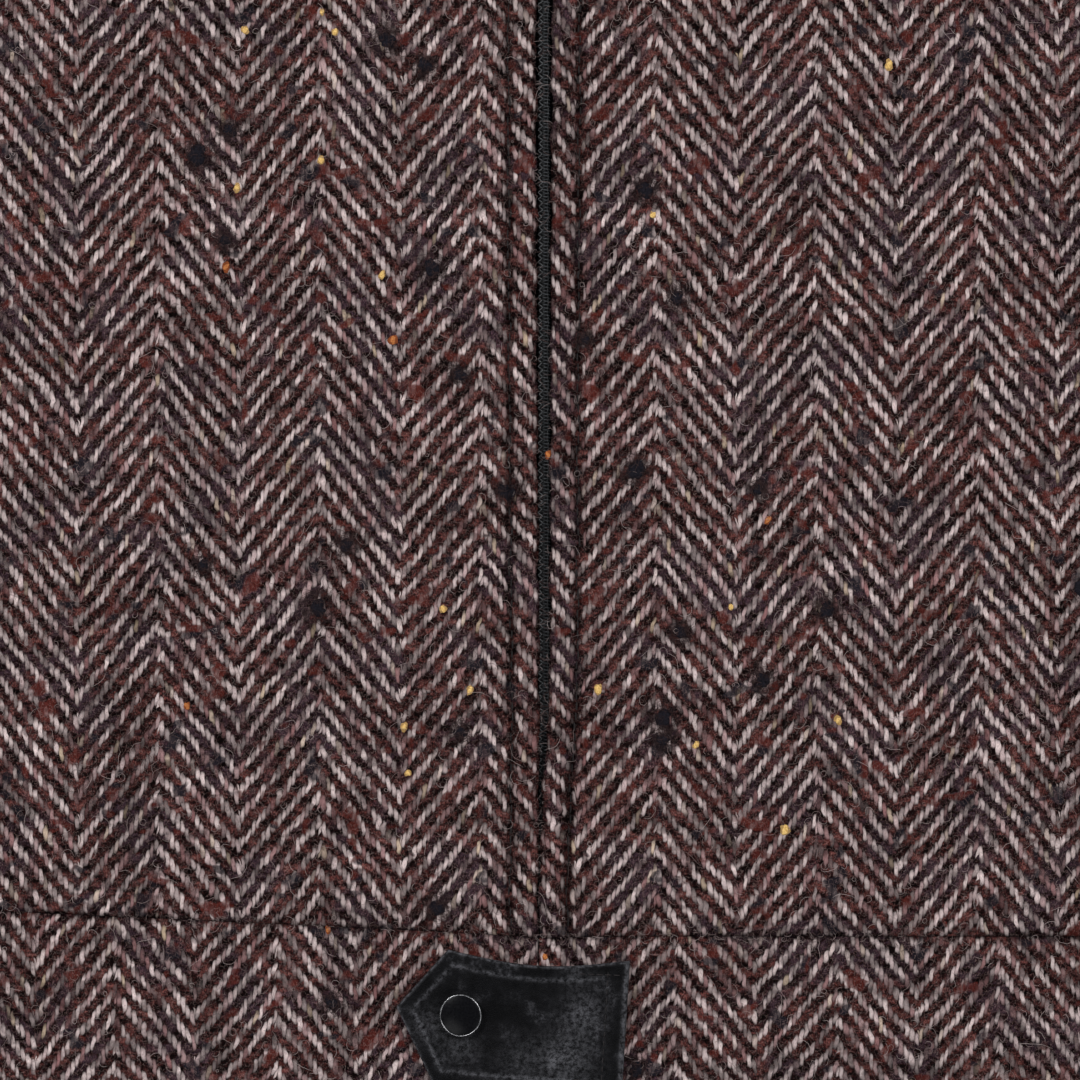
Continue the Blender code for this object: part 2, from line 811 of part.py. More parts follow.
def tab_point(u, v):
    """A point of the tab: u from its pointed end to its sewn end, v from -1 below to 1 above."""
    left = abs(v) * (TAB_POINT_ABOVE if v > 0 else TAB_POINT_BELOW)
    x = left + (TAB_LENGTH - left) * u
    y = v * (TAB_ABOVE - TAB_SAG * math.sin(math.pi * u) if v > 0 else TAB_BELOW)
    c, s = math.cos(TAB_TILT), math.sin(TAB_TILT)
    return (TAB_TIP[0] + x * c - y * s, WAIST_Y + TAB_TIP[1] + x * s + y * c)


def leather_tab(name):
    rows = [[tab_point(u, v) for u in steps(0, 1, 14)] for v in steps(-1, 1, 8)]
    return sheet(name, rows, tab_underside, LEATHER, LEATHER_BLACK)


def turned(name, profile, segments, place, rotation, look):
    """A profile of (radius, height) points, turned once round its own Z axis."""
    mesh = bpy.data.meshes.new(name)
    mesh.from_pydata([(r, 0, z) for r, z in profile], [(k, k + 1) for k in range(len(profile) - 1)], [])
    obj = bpy.data.objects.new(name, mesh)
    obj.location = place
    obj.rotation_euler = rotation
    bpy.context.scene.collection.objects.link(obj)
    screw = obj.modifiers.new("turned", "SCREW")
    screw.steps = screw.render_steps = segments
    screw.use_merge_vertices = True
    screw.merge_threshold = 1e-6
    return finish(obj, look)


def snap():
    """The snap's cap and ring, seated on the slope of the tab."""
    (x0, z0), (x1, z1) = TAB_RISE[0], TAB_RISE[1]
    slope = math.atan2(z1 - z0, x1 - x0)
    x, y = SNAP[0], WAIST_Y + SNAP[1]
    normal = Vector((-math.sin(slope), 0, math.cos(slope)))
    place = Vector((x, y, tab_underside(x, y))) + normal * (LEATHER + GAP)
    rotation = Euler((0, -slope, 0))
    inner = SNAP_RADIUS - RING_WIDTH
    ring = [
        (SNAP_RADIUS - RING_BEVEL, RING_HEIGHT),
        (SNAP_RADIUS, RING_HEIGHT - RING_BEVEL),
        (SNAP_RADIUS, 0),
        (inner, 0),
        (inner, RING_HEIGHT),
        (SNAP_RADIUS - RING_BEVEL, RING_HEIGHT),
    ]
    turned("snap_ring", ring, 36, place, rotation, NICKEL)
    dome = [
        (CAP_RADIUS * math.sin(t), CAP_EDGE + (CAP_HEIGHT - CAP_EDGE) * math.cos(t))
        for t in steps(0, math.pi / 2, 6)
    ]
    turned("snap_cap", [*dome, (CAP_RADIUS, 0), (0, 0)], 32, place, rotation, LACQUER)


for old in list(bpy.data.objects):
    bpy.data.objects.remove(old)
JACKET = collection("long_jacket")
CUTTERS = collection("cutters")

for side_name, way in (("right", -1), ("left", 1)):
    front_bodice(f"front_bodice_{side_name}", way)
    front_skirt(f"front_skirt_{side_name}", way)
    upper_sleeve(f"upper_sleeve_{side_name}", way)
    under_sleeve(f"under_sleeve_{side_name}", way)
    zip_tape(f"zip_tape_{side_name}", way)
    zip_stop(f"zip_stop_{side_name}", way)
back_bodice("back_bodice")
back_skirt("back_skirt")
collar("collar")
zip_chain("zip_chain")
zip_retainer("zip_retainer")
zip_slider("zip_slider")
zip_pull("zip_pull")
leather_tab("leather_tab")
snap()
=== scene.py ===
"""Looks of a long tweed jacket with a waist seam, zipped shut and laid flat on its back.

Metres, +Z up. The collar points to +Y, +X is the wearer's left, and x = 0 is the line of the zip.
The sizes and edge lines are those of the CAD model, so each piece lies where its node does.
"""

import math

import bmesh
import bpy
import numpy as np
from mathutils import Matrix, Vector


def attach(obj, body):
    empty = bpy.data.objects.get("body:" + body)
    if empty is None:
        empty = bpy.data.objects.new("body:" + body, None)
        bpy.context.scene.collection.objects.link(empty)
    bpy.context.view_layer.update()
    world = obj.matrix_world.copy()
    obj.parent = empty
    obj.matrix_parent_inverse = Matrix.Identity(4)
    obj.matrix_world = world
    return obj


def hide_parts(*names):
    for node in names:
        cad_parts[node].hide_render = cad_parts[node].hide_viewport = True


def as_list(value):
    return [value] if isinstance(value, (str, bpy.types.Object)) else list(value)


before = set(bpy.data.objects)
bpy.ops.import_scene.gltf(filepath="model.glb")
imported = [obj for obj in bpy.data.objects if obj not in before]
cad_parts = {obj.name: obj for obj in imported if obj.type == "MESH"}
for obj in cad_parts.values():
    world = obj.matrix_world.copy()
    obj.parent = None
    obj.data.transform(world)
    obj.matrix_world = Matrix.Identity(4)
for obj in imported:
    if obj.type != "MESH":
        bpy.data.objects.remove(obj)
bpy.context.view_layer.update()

# Cloth
WALL = 0.0025
GAP = 0.0003

# Body lengths along Y, and half widths
SKIRT = 0.380
BODICE = 0.490
SHOULDER_DROP = 0.045
ARMHOLE = 0.215
NECK_DROP_FRONT = 0.090
NECK_DROP_BACK = 0.020
COLLAR = 0.055
COLLAR_LEAN = math.radians(10)
HEM_HALF = 0.300
WAIST_HALF = 0.252
CHEST_HALF = 0.270
SHOULDER_HALF = 0.230
NECK_HALF = 0.085
ARMHOLE_TURN = math.radians(25)
ARMHOLE_REACH = 0.070
ARMHOLE_HOLLOW = 0.032

FOLD_RADIUS = WALL + GAP / 2
ABOVE_SHOULDER = GAP + COLLAR * math.cos(COLLAR_LEAN) + FOLD_RADIUS * math.sin(COLLAR_LEAN)
HEM_Y = -(SKIRT + BODICE + ABOVE_SHOULDER) / 2
WAIST_Y = HEM_Y + SKIRT
SHOULDER_Y = WAIST_Y + BODICE
NECK_Y = SHOULDER_Y - NECK_DROP_FRONT
COLLAR_TOP_Y = NECK_Y + GAP + COLLAR
NECK_LEVEL = NECK_Y - WAIST_Y
UNDERARM_Y = SHOULDER_Y - SHOULDER_DROP - ARMHOLE
SEAM_TILT = 0.047
SEAM_TILT_REACH = 0.120
NECK_SHARE = 0.74
UNDERARM_SHARE = 0.50

# Sleeves
UNDERARM_SEAM = 0.380
UPPER_ARM_TURN = math.radians(30)
FOREARM_TURN = math.radians(14)
SLEEVE_TURN = math.radians(19)
CUFF = 0.140
CAP_SLOPE = math.radians(20)
CAP_REACH = 0.205
FOREARM_REACH = 0.300
INNER_REACH = 0.140

# Layers at the zip
BACK_TOP = WALL
TAPE_TOP = 0.0046
CHAIN_BOTTOM = TAPE_TOP + GAP
CHAIN_TOP = 0.0068
CHAIN_HALF = 0.0024
OVER_CHAIN = CHAIN_TOP + GAP
OVER_TAPE = TAPE_TOP + GAP
PRESSED = BACK_TOP + GAP
SLIDER_Y = COLLAR_TOP_Y - 0.0145
CHAIN_START = HEM_Y + 0.0143
CHAIN_END = SLIDER_Y + 0.0003

# Leather tab and snap
TAB_TIP = (-0.0518, -0.0242)
TAB_TILT = math.radians(-3.5)
TAB_LENGTH = 0.0808
TAB_POINT_ABOVE = 0.0169
TAB_POINT_BELOW = 0.0145
TAB_ABOVE = 0.0212
TAB_BELOW = 0.0262
TAB_SAG = 0.0032
LEATHER = 0.0022
SNAP = (-0.0287, -0.0268)
SNAP_RADIUS = 0.0075

# The front edges along the zip, as they lie open over the coil: level above the waist seam, and x of each.
#        level   right_edge  left_edge
ZIP_EDGES = (
    (-0.380, -0.0006, 0.0006),
    (-0.050, -0.0021, -0.0018),
    (0.000, -0.0021, -0.0018),
    (0.030, -0.0020, -0.0014),
    (0.055, -0.0017, -0.0002),
    (0.085, -0.0015, 0.0018),
    (0.101, -0.0017, 0.0019),
    (0.200, -0.0024, 0.0022),
    (0.329, -0.0028, 0.0028),
    (0.400, -0.0048, 0.0048),
    (0.456, -0.0048, 0.0048),
)

#        x       rise
TAB_RISE = (
    (-0.0375, 0.0000),
    (-0.0205, 0.0024),
    (-0.0050, 0.0043),
    (0.0050, 0.0043),
    (0.0240, 0.0012),
    (0.0310, 0.0008),
)

# Soft ridges of the front: middle, direction from +X, half length, half width and height.
#        x      y_from_waist  turn  half_length  half_width  height
FRONT_FOLDS = (
    (-0.205, 0.205, 118, 0.060, 0.016, 0.0026),
    (0.212, 0.190, 60, 0.070, 0.018, 0.0024),
    (-0.165, 0.300, 62, 0.050, 0.018, 0.0014),
    (0.158, 0.320, 124, 0.045, 0.016, 0.0012),
    (-0.150, 0.045, 155, 0.060, 0.014, 0.0012),
    (0.175, 0.060, 20, 0.070, 0.015, 0.0014),
    (-0.110, -0.150, 97, 0.120, 0.017, 0.0022),
    (-0.205, -0.210, 101, 0.130, 0.022, 0.0030),
    (0.095, -0.190, 85, 0.140, 0.018, 0.0020),
    (0.190, -0.170, 80, 0.120, 0.020, 0.0028),
    (0.245, -0.265, 77, 0.090, 0.014, 0.0018),
)

# Narrow creases along the crests of those ridges, in the same columns.
FRONT_LIFTS = (
    (-0.236, 0.226, 128, 0.056, 0.015, 0.0078),
    (-0.228, 0.146, 148, 0.044, 0.012, 0.0052),
    (0.240, 0.206, 50, 0.060, 0.016, 0.0082),
    (0.226, 0.122, 34, 0.040, 0.012, 0.0046),
    (-0.122, -0.190, 97, 0.080, 0.016, 0.0072),
    (-0.212, -0.235, 103, 0.105, 0.020, 0.0092),
    (-0.266, -0.316, 110, 0.050, 0.013, 0.0050),
    (-0.044, -0.290, 93, 0.070, 0.016, 0.0054),
    (0.102, -0.220, 84, 0.088, 0.017, 0.0068),
    (0.198, -0.195, 79, 0.100, 0.020, 0.0090),
    (0.262, -0.305, 72, 0.056, 0.013, 0.0058),
)

# Smaller creases and hollows of the top face, in the same columns.
#        x      y_from_waist  turn  half_length  half_width  height
FRONT_CREASES = (
    (-0.180, 0.182, 108, 0.040, 0.008, -0.0008),
    (0.188, 0.170, 72, 0.044, 0.008, -0.0008),
    (-0.135, 0.262, 74, 0.038, 0.010, -0.0006),
    (0.128, 0.290, 112, 0.034, 0.009, -0.0005),
    (-0.070, 0.190, 96, 0.080, 0.014, -0.0003),
    (0.085, 0.150, 84, 0.070, 0.016, -0.0003),
    (-0.120, 0.110, 100, 0.050, 0.012, 0.0003),
    (0.050, 0.060, 70, 0.040, 0.010, 0.0003),
    (-0.100, 0.030, 170, 0.040, 0.006, -0.0004),
    (0.120, 0.026, 12, 0.045, 0.006, -0.0004),
    (0.060, 0.008, 0, 0.030, 0.004, 0.0003),
    (-0.180, 0.015, 168, 0.040, 0.006, 0.0006),
    (-0.150, -0.025, 15, 0.036, 0.006, 0.0005),
    (0.150, -0.030, 160, 0.040, 0.006, 0.0006),
    (-0.066, -0.120, 94, 0.070, 0.010, -0.0008),
    (-0.158, -0.190, 99, 0.090, 0.011, -0.0010),
    (-0.252, -0.280, 104, 0.060, 0.010, -0.0008),
    (0.052, -0.150, 88, 0.080, 0.010, -0.0007),
    (0.142, -0.210, 84, 0.090, 0.010, -0.0010),
    (0.228, -0.150, 78, 0.060, 0.010, -0.0008),
)

# Soft ridges of each sleeve: place along and across it from 0 to 1, direction across it, sizes.
#        along  across  turn  half_length  half_width  height
SLEEVE_FOLDS = (
    (0.30, 0.30, 62, 0.050, 0.013, 0.0024),
    (0.47, 0.35, 20, 0.045, 0.011, 0.0026),
    (0.55, 0.60, -14, 0.050, 0.012, 0.0022),
    (0.63, 0.30, 12, 0.040, 0.010, 0.0018),
    (0.84, 0.60, 8, 0.045, 0.012, 0.0014),
)
SLEEVE_LIFTS = (
    (0.19, 0.34, 66, 0.050, 0.015, 0.0058),
    (0.32, 0.36, 44, 0.054, 0.013, 0.0066),
    (0.43, 0.34, 20, 0.054, 0.011, 0.0070),
    (0.53, 0.56, -2, 0.050, 0.012, 0.0060),
    (0.62, 0.32, -16, 0.042, 0.011, 0.0056),
    (0.78, 0.58, 16, 0.044, 0.014, 0.0046),
)
SLEEVE_CREASES = (
    (0.26, 0.18, 48, 0.030, 0.006, -0.0008),
    (0.42, 0.72, 4, 0.026, 0.006, -0.0008),
    (0.51, 0.42, 2, 0.040, 0.006, -0.0012),
    (0.59, 0.48, -2, 0.034, 0.005, -0.0009),
    (0.74, 0.35, -10, 0.034, 0.006, -0.0007),
    (0.93, 0.35, 4, 0.040, 0.006, -0.0006),
)

FOLD_BOW = 0.5  # how far a fold's ends lie aside, in half widths
FOLD_STEEP = 0.6  # width of a fold's steep side against its gentle one
BACK_SHARE = 0.9  # how far the back layer follows the folds of the front one

# Small hollows of the back's own lower face, in the columns of FRONT_FOLDS.
BACK_HOLLOWS = (
    (-0.215, 0.240, 120, 0.060, 0.012, 0.0011),
    (0.205, 0.215, 63, 0.070, 0.013, 0.0010),
    (-0.060, 0.330, 15, 0.080, 0.010, 0.0007),
    (0.070, 0.180, 170, 0.090, 0.012, 0.0008),
    (-0.150, 0.040, 150, 0.070, 0.012, 0.0009),
    (0.160, 0.055, 24, 0.060, 0.011, 0.0009),
    (-0.125, -0.180, 97, 0.120, 0.013, 0.0011),
    (-0.225, -0.240, 104, 0.090, 0.012, 0.0012),
    (0.030, -0.160, 92, 0.100, 0.014, 0.0008),
    (0.150, -0.210, 82, 0.110, 0.013, 0.0011),
    (0.240, -0.260, 76, 0.080, 0.011, 0.0010),
)
UNDER_SLEEVE_HOLLOWS = (
    (0.28, 0.35, 60, 0.045, 0.010, 0.0009),
    (0.44, 0.50, 22, 0.045, 0.009, 0.0011),
    (0.55, 0.45, -4, 0.045, 0.008, 0.0010),
    (0.67, 0.60, 16, 0.035, 0.009, 0.0008),
    (0.85, 0.40, 6, 0.040, 0.009, 0.0006),
)

# The herringbone: width of one column, ends in it, and height of a pick
COLUMN = 0.0283
ENDS = 16
PICK = 0.00215
# x of a valley line of each panel, where the diagonals meet at their foot
VALLEY = {
    "front_bodice_right": -0.0500,
    "front_bodice_left": 0.0112,
    "front_skirt_right": -0.0653,
    "front_skirt_left": 0.0184,
}

# The photo's scale, to place what it shows: 1080 pixels across, with the zip at 544
PIXEL = 0.000351
ZIP_PIXEL = 544
WAIST_PIXEL = 937
VIEW_WIDTH = 1080 * PIXEL

# Dark wool nubs: place in the photo and radius, in pixels
NUBS = (
    (197, 155, 14), (225, 240, 10), (432, 268, 12), (460, 375, 10), (387, 40, 12), (425, 65, 10),
    (645, 190, 12), (677, 298, 12), (585, 340, 8), (636, 470, 14), (507, 492, 12), (318, 608, 14),
    (346, 545, 10), (203, 565, 9), (758, 490, 9), (827, 610, 12), (680, 632, 10), (763, 680, 11),
    (663, 718, 14), (663, 740, 10), (460, 732, 9), (437, 908, 12), (332, 1003, 10), (230, 130, 10),
    (636, 1070, 11),
)
YELLOW_FLECKS = (
    (322, 12), (335, 32), (245, 30), (237, 188), (321, 160), (653, 215), (443, 609), (470, 690),
    (404, 727), (408, 773), (731, 607), (598, 689), (696, 745), (785, 830), (838, 720), (889, 65),
    (382, 275),
)
ORANGE_FLECKS = ((226, 267), (393, 340), (768, 520), (187, 706), (548, 455), (545, 955), (328, 930))

STITCH_LINE = 0.0098  # topstitching, from each front edge


# Geometry, on numbers or numpy arrays alike


def smooth(start, end, value):
    t = np.clip((value - start) / (end - start), 0, 1)
    return t * t * (3 - 2 * t)


def along(start, end, t):
    return (start[0] + (end[0] - start[0]) * t, start[1] + (end[1] - start[1]) * t)


def bezier(points, t):
    while len(points) > 1:
        points = [along(a, b, t) for a, b in zip(points, points[1:])]
    return points[0]


def joined(first, second, share):
    def edge(t):
        low, high = first(np.clip(t / share, 0, 1)), second(np.clip((t - share) / (1 - share), 0, 1))
        return tuple(np.where(t < share, a, b) for a, b in zip(low, high))

    return edge


def column(table, value, index):
    return np.interp(value, [row[0] for row in table], [row[index] for row in table])


def patch(bottom, top, left, right, u, v):
    """Points that fill four edges (a Coons patch), at shares u across for each row v."""
    v = np.asarray(v)[:, None]
    low, high, start, end = bottom(u), top(u), left(v), right(v)
    corners = (bottom(0.0), bottom(1.0), top(0.0), top(1.0))
    found = []
    for k in range(2):
        ruled = (1 - v) * low[k] + v * high[k] + (1 - u) * start[k] + u * end[k]
        flat = (1 - v) * ((1 - u) * corners[0][k] + u * corners[1][k])
        flat = flat + v * ((1 - u) * corners[2][k] + u * corners[3][k])
        found.append(ruled - flat)
    return found


def spread(length, near, far, count):
    """Distances along a line: fixed ones by both ends, and even ones between."""
    length = np.asarray(length, float).reshape(-1, 1)
    near, far = np.array(near)[None, :], np.array(far)[None, ::-1]
    share = np.linspace(0, 1, count + 2)[None, 1:-1]
    middle = near[:, -1:] + (length - near[:, -1:] - far[:, :1]) * share
    return np.hstack([near + 0 * length, middle, length - far])


def neck_point(side):
    return (side * NECK_HALF, SHOULDER_Y)


def shoulder_tip(side):
    return (side * SHOULDER_HALF, SHOULDER_Y - SHOULDER_DROP)


def zip_edge(side, y):
    level, side = y - WAIST_Y, np.asarray(side)
    together = 0.00030 * np.sin(level * 330) + 0.00022 * np.sin(level * 171 + 2)
    apart = 0.00018 * np.sin(level * 640 + side * 2) + 0.00016 * np.sin(level * 283 + side)
    wave = (together + apart * smooth(0.01, 0.05, level)) * smooth(NECK_LEVEL, NECK_LEVEL - 0.03, level)
    return np.where(side > 0, column(ZIP_EDGES, level, 2), column(ZIP_EDGES, level, 1)) + wave


def neck_curve(side, drop, t):
    turn = t * math.pi / 2
    return (side * NECK_HALF * np.sin(turn), SHOULDER_Y - drop * np.cos(turn))


def neck_from_zip(side, share):
    start = math.asin(abs(float(zip_edge(side, NECK_Y))) / NECK_HALF) * 2 / math.pi
    return start + (1 - start) * share


def side_seam(side, t):
    waist = (side * WAIST_HALF, WAIST_Y)
    middle = (side * WAIST_HALF, WAIST_Y + 0.4 * (UNDERARM_Y - WAIST_Y))
    return bezier([waist, middle, (side * CHEST_HALF, UNDERARM_Y)], t)


def armhole(side, t):
    low = (
        side * (CHEST_HALF - ARMHOLE_REACH * math.sin(ARMHOLE_TURN)),
        UNDERARM_Y + ARMHOLE_REACH * math.cos(ARMHOLE_TURN),
    )
    high = (side * (SHOULDER_HALF - ARMHOLE_HOLLOW), UNDERARM_Y + 0.6 * ARMHOLE)
    return bezier([(side * CHEST_HALF, UNDERARM_Y), low, high, shoulder_tip(side)], t)


def skirt_side(side, t):
    middle = (side * (0.3 * HEM_HALF + 0.7 * WAIST_HALF), WAIST_Y - 0.5 * SKIRT)
    return bezier([(side * HEM_HALF, HEM_Y), middle, (side * WAIST_HALF, WAIST_Y)], t)


def tilted(x, y):
    climb = SEAM_TILT * np.maximum(0.0, -x)
    return x, y + climb * np.exp(-(((y - WAIST_Y) / SEAM_TILT_REACH) ** 2))


def ridge(x, y, middle, turn, half_length, half_width, height):
    """A soft fold, slightly bowed, that falls off more steeply on its right."""
    dx, dy = x - middle[0], y - middle[1]
    c, s = math.cos(math.radians(turn)), math.sin(math.radians(turn))
    lengthwise, crosswise = (dx * c + dy * s) / half_length, (dy * c - dx * s) / half_width
    crosswise = crosswise + math.copysign(FOLD_BOW, middle[0]) * (lengthwise**2 - 0.5)
    return height * np.exp(-(lengthwise**2) - np.where(crosswise < 0, crosswise / FOLD_STEEP, crosswise) ** 2)


def folds(table, x, y):
    return sum(ridge(x, y, (fx, WAIST_Y + fy), *sizes) for fx, fy, *sizes in table)


def zip_rise(x):
    over_tape = (OVER_TAPE - PRESSED) * (1 - smooth(0.019, 0.029, np.abs(x)))
    over_chain = (OVER_CHAIN - OVER_TAPE) * (1 - smooth(0.0045, 0.0090, np.abs(x)))
    return over_tape + over_chain


def swell(x, y):
    """How far the folds lift the cloth, on the body and on both sleeves."""
    arms = sum(sleeve_heights(side, SLEEVE_FOLDS + SLEEVE_LIFTS, x, y) for side in (-1, 1))
    return folds(FRONT_FOLDS + FRONT_LIFTS, x, y) + arms


def front_underside(x, y):
    return PRESSED + zip_rise(x) + swell(x, y)


def tab_local(x, y):
    """A point in the tab's own directions, from its tip."""
    dx, dy = x - TAB_TIP[0], y - WAIST_Y - TAB_TIP[1]
    c, s = math.cos(TAB_TILT), math.sin(TAB_TILT)
    return dx * c + dy * s, dy * c - dx * s


def under_tab(x, y):
    """1 under the tab and just round it, fading to 0."""
    lx, ly = tab_local(x, y)
    inside = smooth(-0.006, -0.001, lx) * (1 - smooth(TAB_LENGTH + 0.001, TAB_LENGTH + 0.006, lx))
    inside = inside * smooth(-TAB_BELOW - 0.006, -TAB_BELOW - 0.001, ly)
    return inside * (1 - smooth(TAB_ABOVE + 0.001, TAB_ABOVE + 0.006, ly))


def from_zip(x, y):
    """Distance to the nearer front edge."""
    side = np.where(x > (zip_edge(-1, y) + zip_edge(1, y)) / 2, 1, -1)
    return np.abs(x - zip_edge(side, y))


def pressed_and_shaded(x, y):
    """How far the wool is pressed down, 0 to 1, and darkened as painted shade: along the stitching, at the
    waist seam and the front edges.
    """
    d, seam = from_zip(x, y), np.abs(tilted(x, WAIST_Y + 0 * y)[1] - y)
    uneven = 0.72 + 0.18 * np.sin(y * 210 + 2 * np.sign(x)) + 0.10 * np.sin(y * 483 + np.sign(x))
    channel = uneven * np.exp(-np.abs((d - STITCH_LINE) / 0.0015) ** 2.5)
    waist = (0.45 + 0.25 * np.sin(x * 290 + 1) * np.sin(x * 97)) * np.exp(-((seam / 0.0011) ** 2))
    rim = 0.7 * np.exp(-((d / 0.0008) ** 2))
    return np.maximum(np.maximum(channel, waist), rim) * (1 - under_tab(x, y))


def front_relief(x, y):
    """What the front's top face has beyond a plain sheet: the edge strip, its stitch channel and creases."""
    d = from_zip(x, y)
    strip = 0.00055 * smooth(0, 0.0035, d) * (1 - smooth(0.0065, 0.0090, d))
    depth = 0.00135 + 0.0002 * np.sin(y * 190 + 3 * x)
    channel = -depth * np.exp(-(((d - STITCH_LINE) / 0.0011) ** 2))
    seam = np.abs(tilted(x, WAIST_Y + 0 * y)[1] - y)
    puff = 0.0005 * (smooth(0, 0.004, seam) - smooth(0.005, 0.014, seam))
    groove = -0.0006 * np.exp(-((seam / 0.0018) ** 2))
    return (strip + channel + puff + groove + folds(FRONT_CREASES, x, y)) * (1 - under_tab(x, y))


def front_top(x, y):
    return front_underside(x, y) + WALL + front_relief(x, y)


def in_photo(px, py):
    return (px - ZIP_PIXEL) * PIXEL, WAIST_Y + (WAIST_PIXEL - py) * PIXEL


# Meshes


def grid_faces(rows, cols):
    a = (np.arange(rows - 1)[:, None] * cols + np.arange(cols - 1)[None, :]).ravel()
    return np.stack([a, a + 1, a + cols + 1, a + cols], axis=1)


WELD = 1e-6  # points closer than this are one


def weld(mesh, distance=WELD):
    bm = bmesh.new()
    bm.from_mesh(mesh)
    bmesh.ops.remove_doubles(bm, verts=bm.verts[:], dist=distance)
    bmesh.ops.recalc_face_normals(bm, faces=bm.faces[:])
    bm.to_mesh(mesh)
    bm.free()


def mesh_piece(name, points, faces, material, uv=None):
    """A mesh object from arrays, with its weave coordinates where it has them."""
    mesh = bpy.data.meshes.new(name)
    mesh.from_pydata(np.asarray(points, float).tolist(), [], [tuple(int(i) for i in f) for f in faces])
    if uv is not None:
        layer = mesh.uv_layers.new(name="weave")
        corners = np.empty(len(mesh.loops), np.int32)
        mesh.loops.foreach_get("vertex_index", corners)
        layer.data.foreach_set("uv", np.asarray(uv, np.float32)[corners].ravel())
    mesh.materials.append(material)
    obj = bpy.data.objects.new(name, mesh)
    bpy.context.scene.collection.objects.link(obj)
    mesh.polygons.foreach_set("use_smooth", [True] * len(mesh.polygons))
    mesh.update()
    return obj


def two_faced(name, x, y, middle, half, material, uv=None):
    """A closed form on a grid of points. It closes where half its thickness falls to nothing."""
    upper = np.stack([x, y, middle + half], axis=-1).reshape(-1, 3)
    lower = np.stack([x, y, middle - half], axis=-1).reshape(-1, 3)
    faces = grid_faces(*x.shape)
    both = np.vstack([faces, faces[:, ::-1] + len(upper)])
    return mesh_piece(name, np.vstack([upper, lower]), both, material, uv)


def edge_distance(x, y):
    """Each point's distance to the nearest edge of its grid."""
    found = None
    for axis in (0, 1):
        step = np.hypot(np.diff(x, axis=axis), np.diff(y, axis=axis))
        start = np.zeros_like(np.take(x, [0], axis=axis))
        walked = np.concatenate([start, np.cumsum(step, axis=axis)], axis=axis)
        left = np.take(walked, [-1], axis=axis) - walked
        nearest = np.minimum(walked, left)
        found = nearest if found is None else np.minimum(found, nearest)
    return found


EDGE_ROUND = 0.0016


def edge_profile(distance, reach=EDGE_ROUND):
    """The rounded edge of a sheet, as a share of its half thickness."""
    return np.sqrt(np.clip(1 - (1 - np.minimum(distance / reach, 1)) ** 2, 0, 1))


def shell(name, x, y, bottom, top, uv):
    """A closed thin shell of tweed on a grid of points, with rounded edges."""
    profile = edge_profile(edge_distance(x, y))
    middle, half = (bottom + top) / 2, (top - bottom) / 2 * profile
    flat_uv = np.stack(uv, axis=-1).reshape(-1, 2)
    PANELS[name] = (x, y)
    obj = two_faced(name, x, y, middle, half, TWEED, np.vstack([flat_uv, flat_uv]))
    weld(obj.data)
    return obj


PANELS = {}  # the points of each panel's grid, by its name

NEAR_ZIP = [
    0, 0.00012, 0.00035, 0.0007, 0.0012, 0.002, 0.003, 0.0045, 0.006, 0.0073, 0.0082, 0.0087, 0.0091,
    0.00945, 0.0098, 0.01015, 0.0105, 0.0109, 0.0114, 0.0122, 0.0135, 0.0155, 0.018, 0.021, 0.025,
]
NEAR_EDGE = [0, 0.00012, 0.00035, 0.0007, 0.0012, 0.0022, 0.004]


def body_grid(bottom, top, left, right, near, far, across, length, up):
    """A panel's points: columns at fixed distances from its side edges, rows close at its ends."""
    v = spread(length, NEAR_EDGE, NEAR_EDGE, up)[0] / length
    starts, ends = left(v), right(v)
    width = np.hypot(ends[0] - starts[0], ends[1] - starts[1])
    u = spread(width, near, far, across) / width[:, None]
    x, y = patch(bottom, top, left, right, u, v)
    return tilted(x, y)


def front_bodice_grid(side):
    low = WAIST_Y

    def opening(t):
        y = low + (NECK_Y - low) * t
        return (zip_edge(side, y), y)

    def neck(t):
        return neck_curve(side, NECK_DROP_FRONT, neck_from_zip(side, t))

    return body_grid(
        lambda u: along((float(zip_edge(side, low)), low), (side * WAIST_HALF, low), u),
        lambda u: along(neck_point(side), shoulder_tip(side), u),
        joined(opening, neck, NECK_SHARE),
        joined(lambda t: side_seam(side, t), lambda t: armhole(side, t), UNDERARM_SHARE),
        NEAR_ZIP,
        NEAR_EDGE,
        48,
        BODICE,
        190,
    )


def front_skirt_grid(side):
    def edge(t):
        y = HEM_Y + (WAIST_Y - HEM_Y) * t
        return (zip_edge(side, y), y)

    return body_grid(
        lambda u: along((float(zip_edge(side, HEM_Y)), HEM_Y), (side * HEM_HALF, HEM_Y), u),
        lambda u: along((float(zip_edge(side, WAIST_Y)), WAIST_Y), (side * WAIST_HALF, WAIST_Y), u),
        edge,
        lambda t: skirt_side(side, t),
        NEAR_ZIP,
        NEAR_EDGE,
        52,
        SKIRT,
        84,
    )


def back_bodice_grid():
    shoulder_share = 0.5 * (SHOULDER_HALF - NECK_HALF) / SHOULDER_HALF
    inner = 1 - 2 * shoulder_share

    def top(u):
        side, out = np.where(np.asarray(u) > 0.5, 1, -1), np.abs(2 * np.asarray(u) - 1)
        share = np.clip((out - inner) / (1 - inner), 0, 1)
        shoulder = along((NECK_HALF, SHOULDER_Y), shoulder_tip(1), share)
        neck = neck_curve(1, NECK_DROP_BACK, np.clip(out / inner, 0, 1))
        x, y = (np.where(out > inner, on_shoulder, on_neck) for on_shoulder, on_neck in zip(shoulder, neck))
        return (side * x, y)

    def edge(side):
        return joined(lambda t: side_seam(side, t), lambda t: armhole(side, t), UNDERARM_SHARE)

    return body_grid(
        lambda u: along((-WAIST_HALF, WAIST_Y), (WAIST_HALF, WAIST_Y), u),
        top,
        edge(-1),
        edge(1),
        NEAR_EDGE,
        NEAR_EDGE,
        80,
        BODICE,
        78,
    )


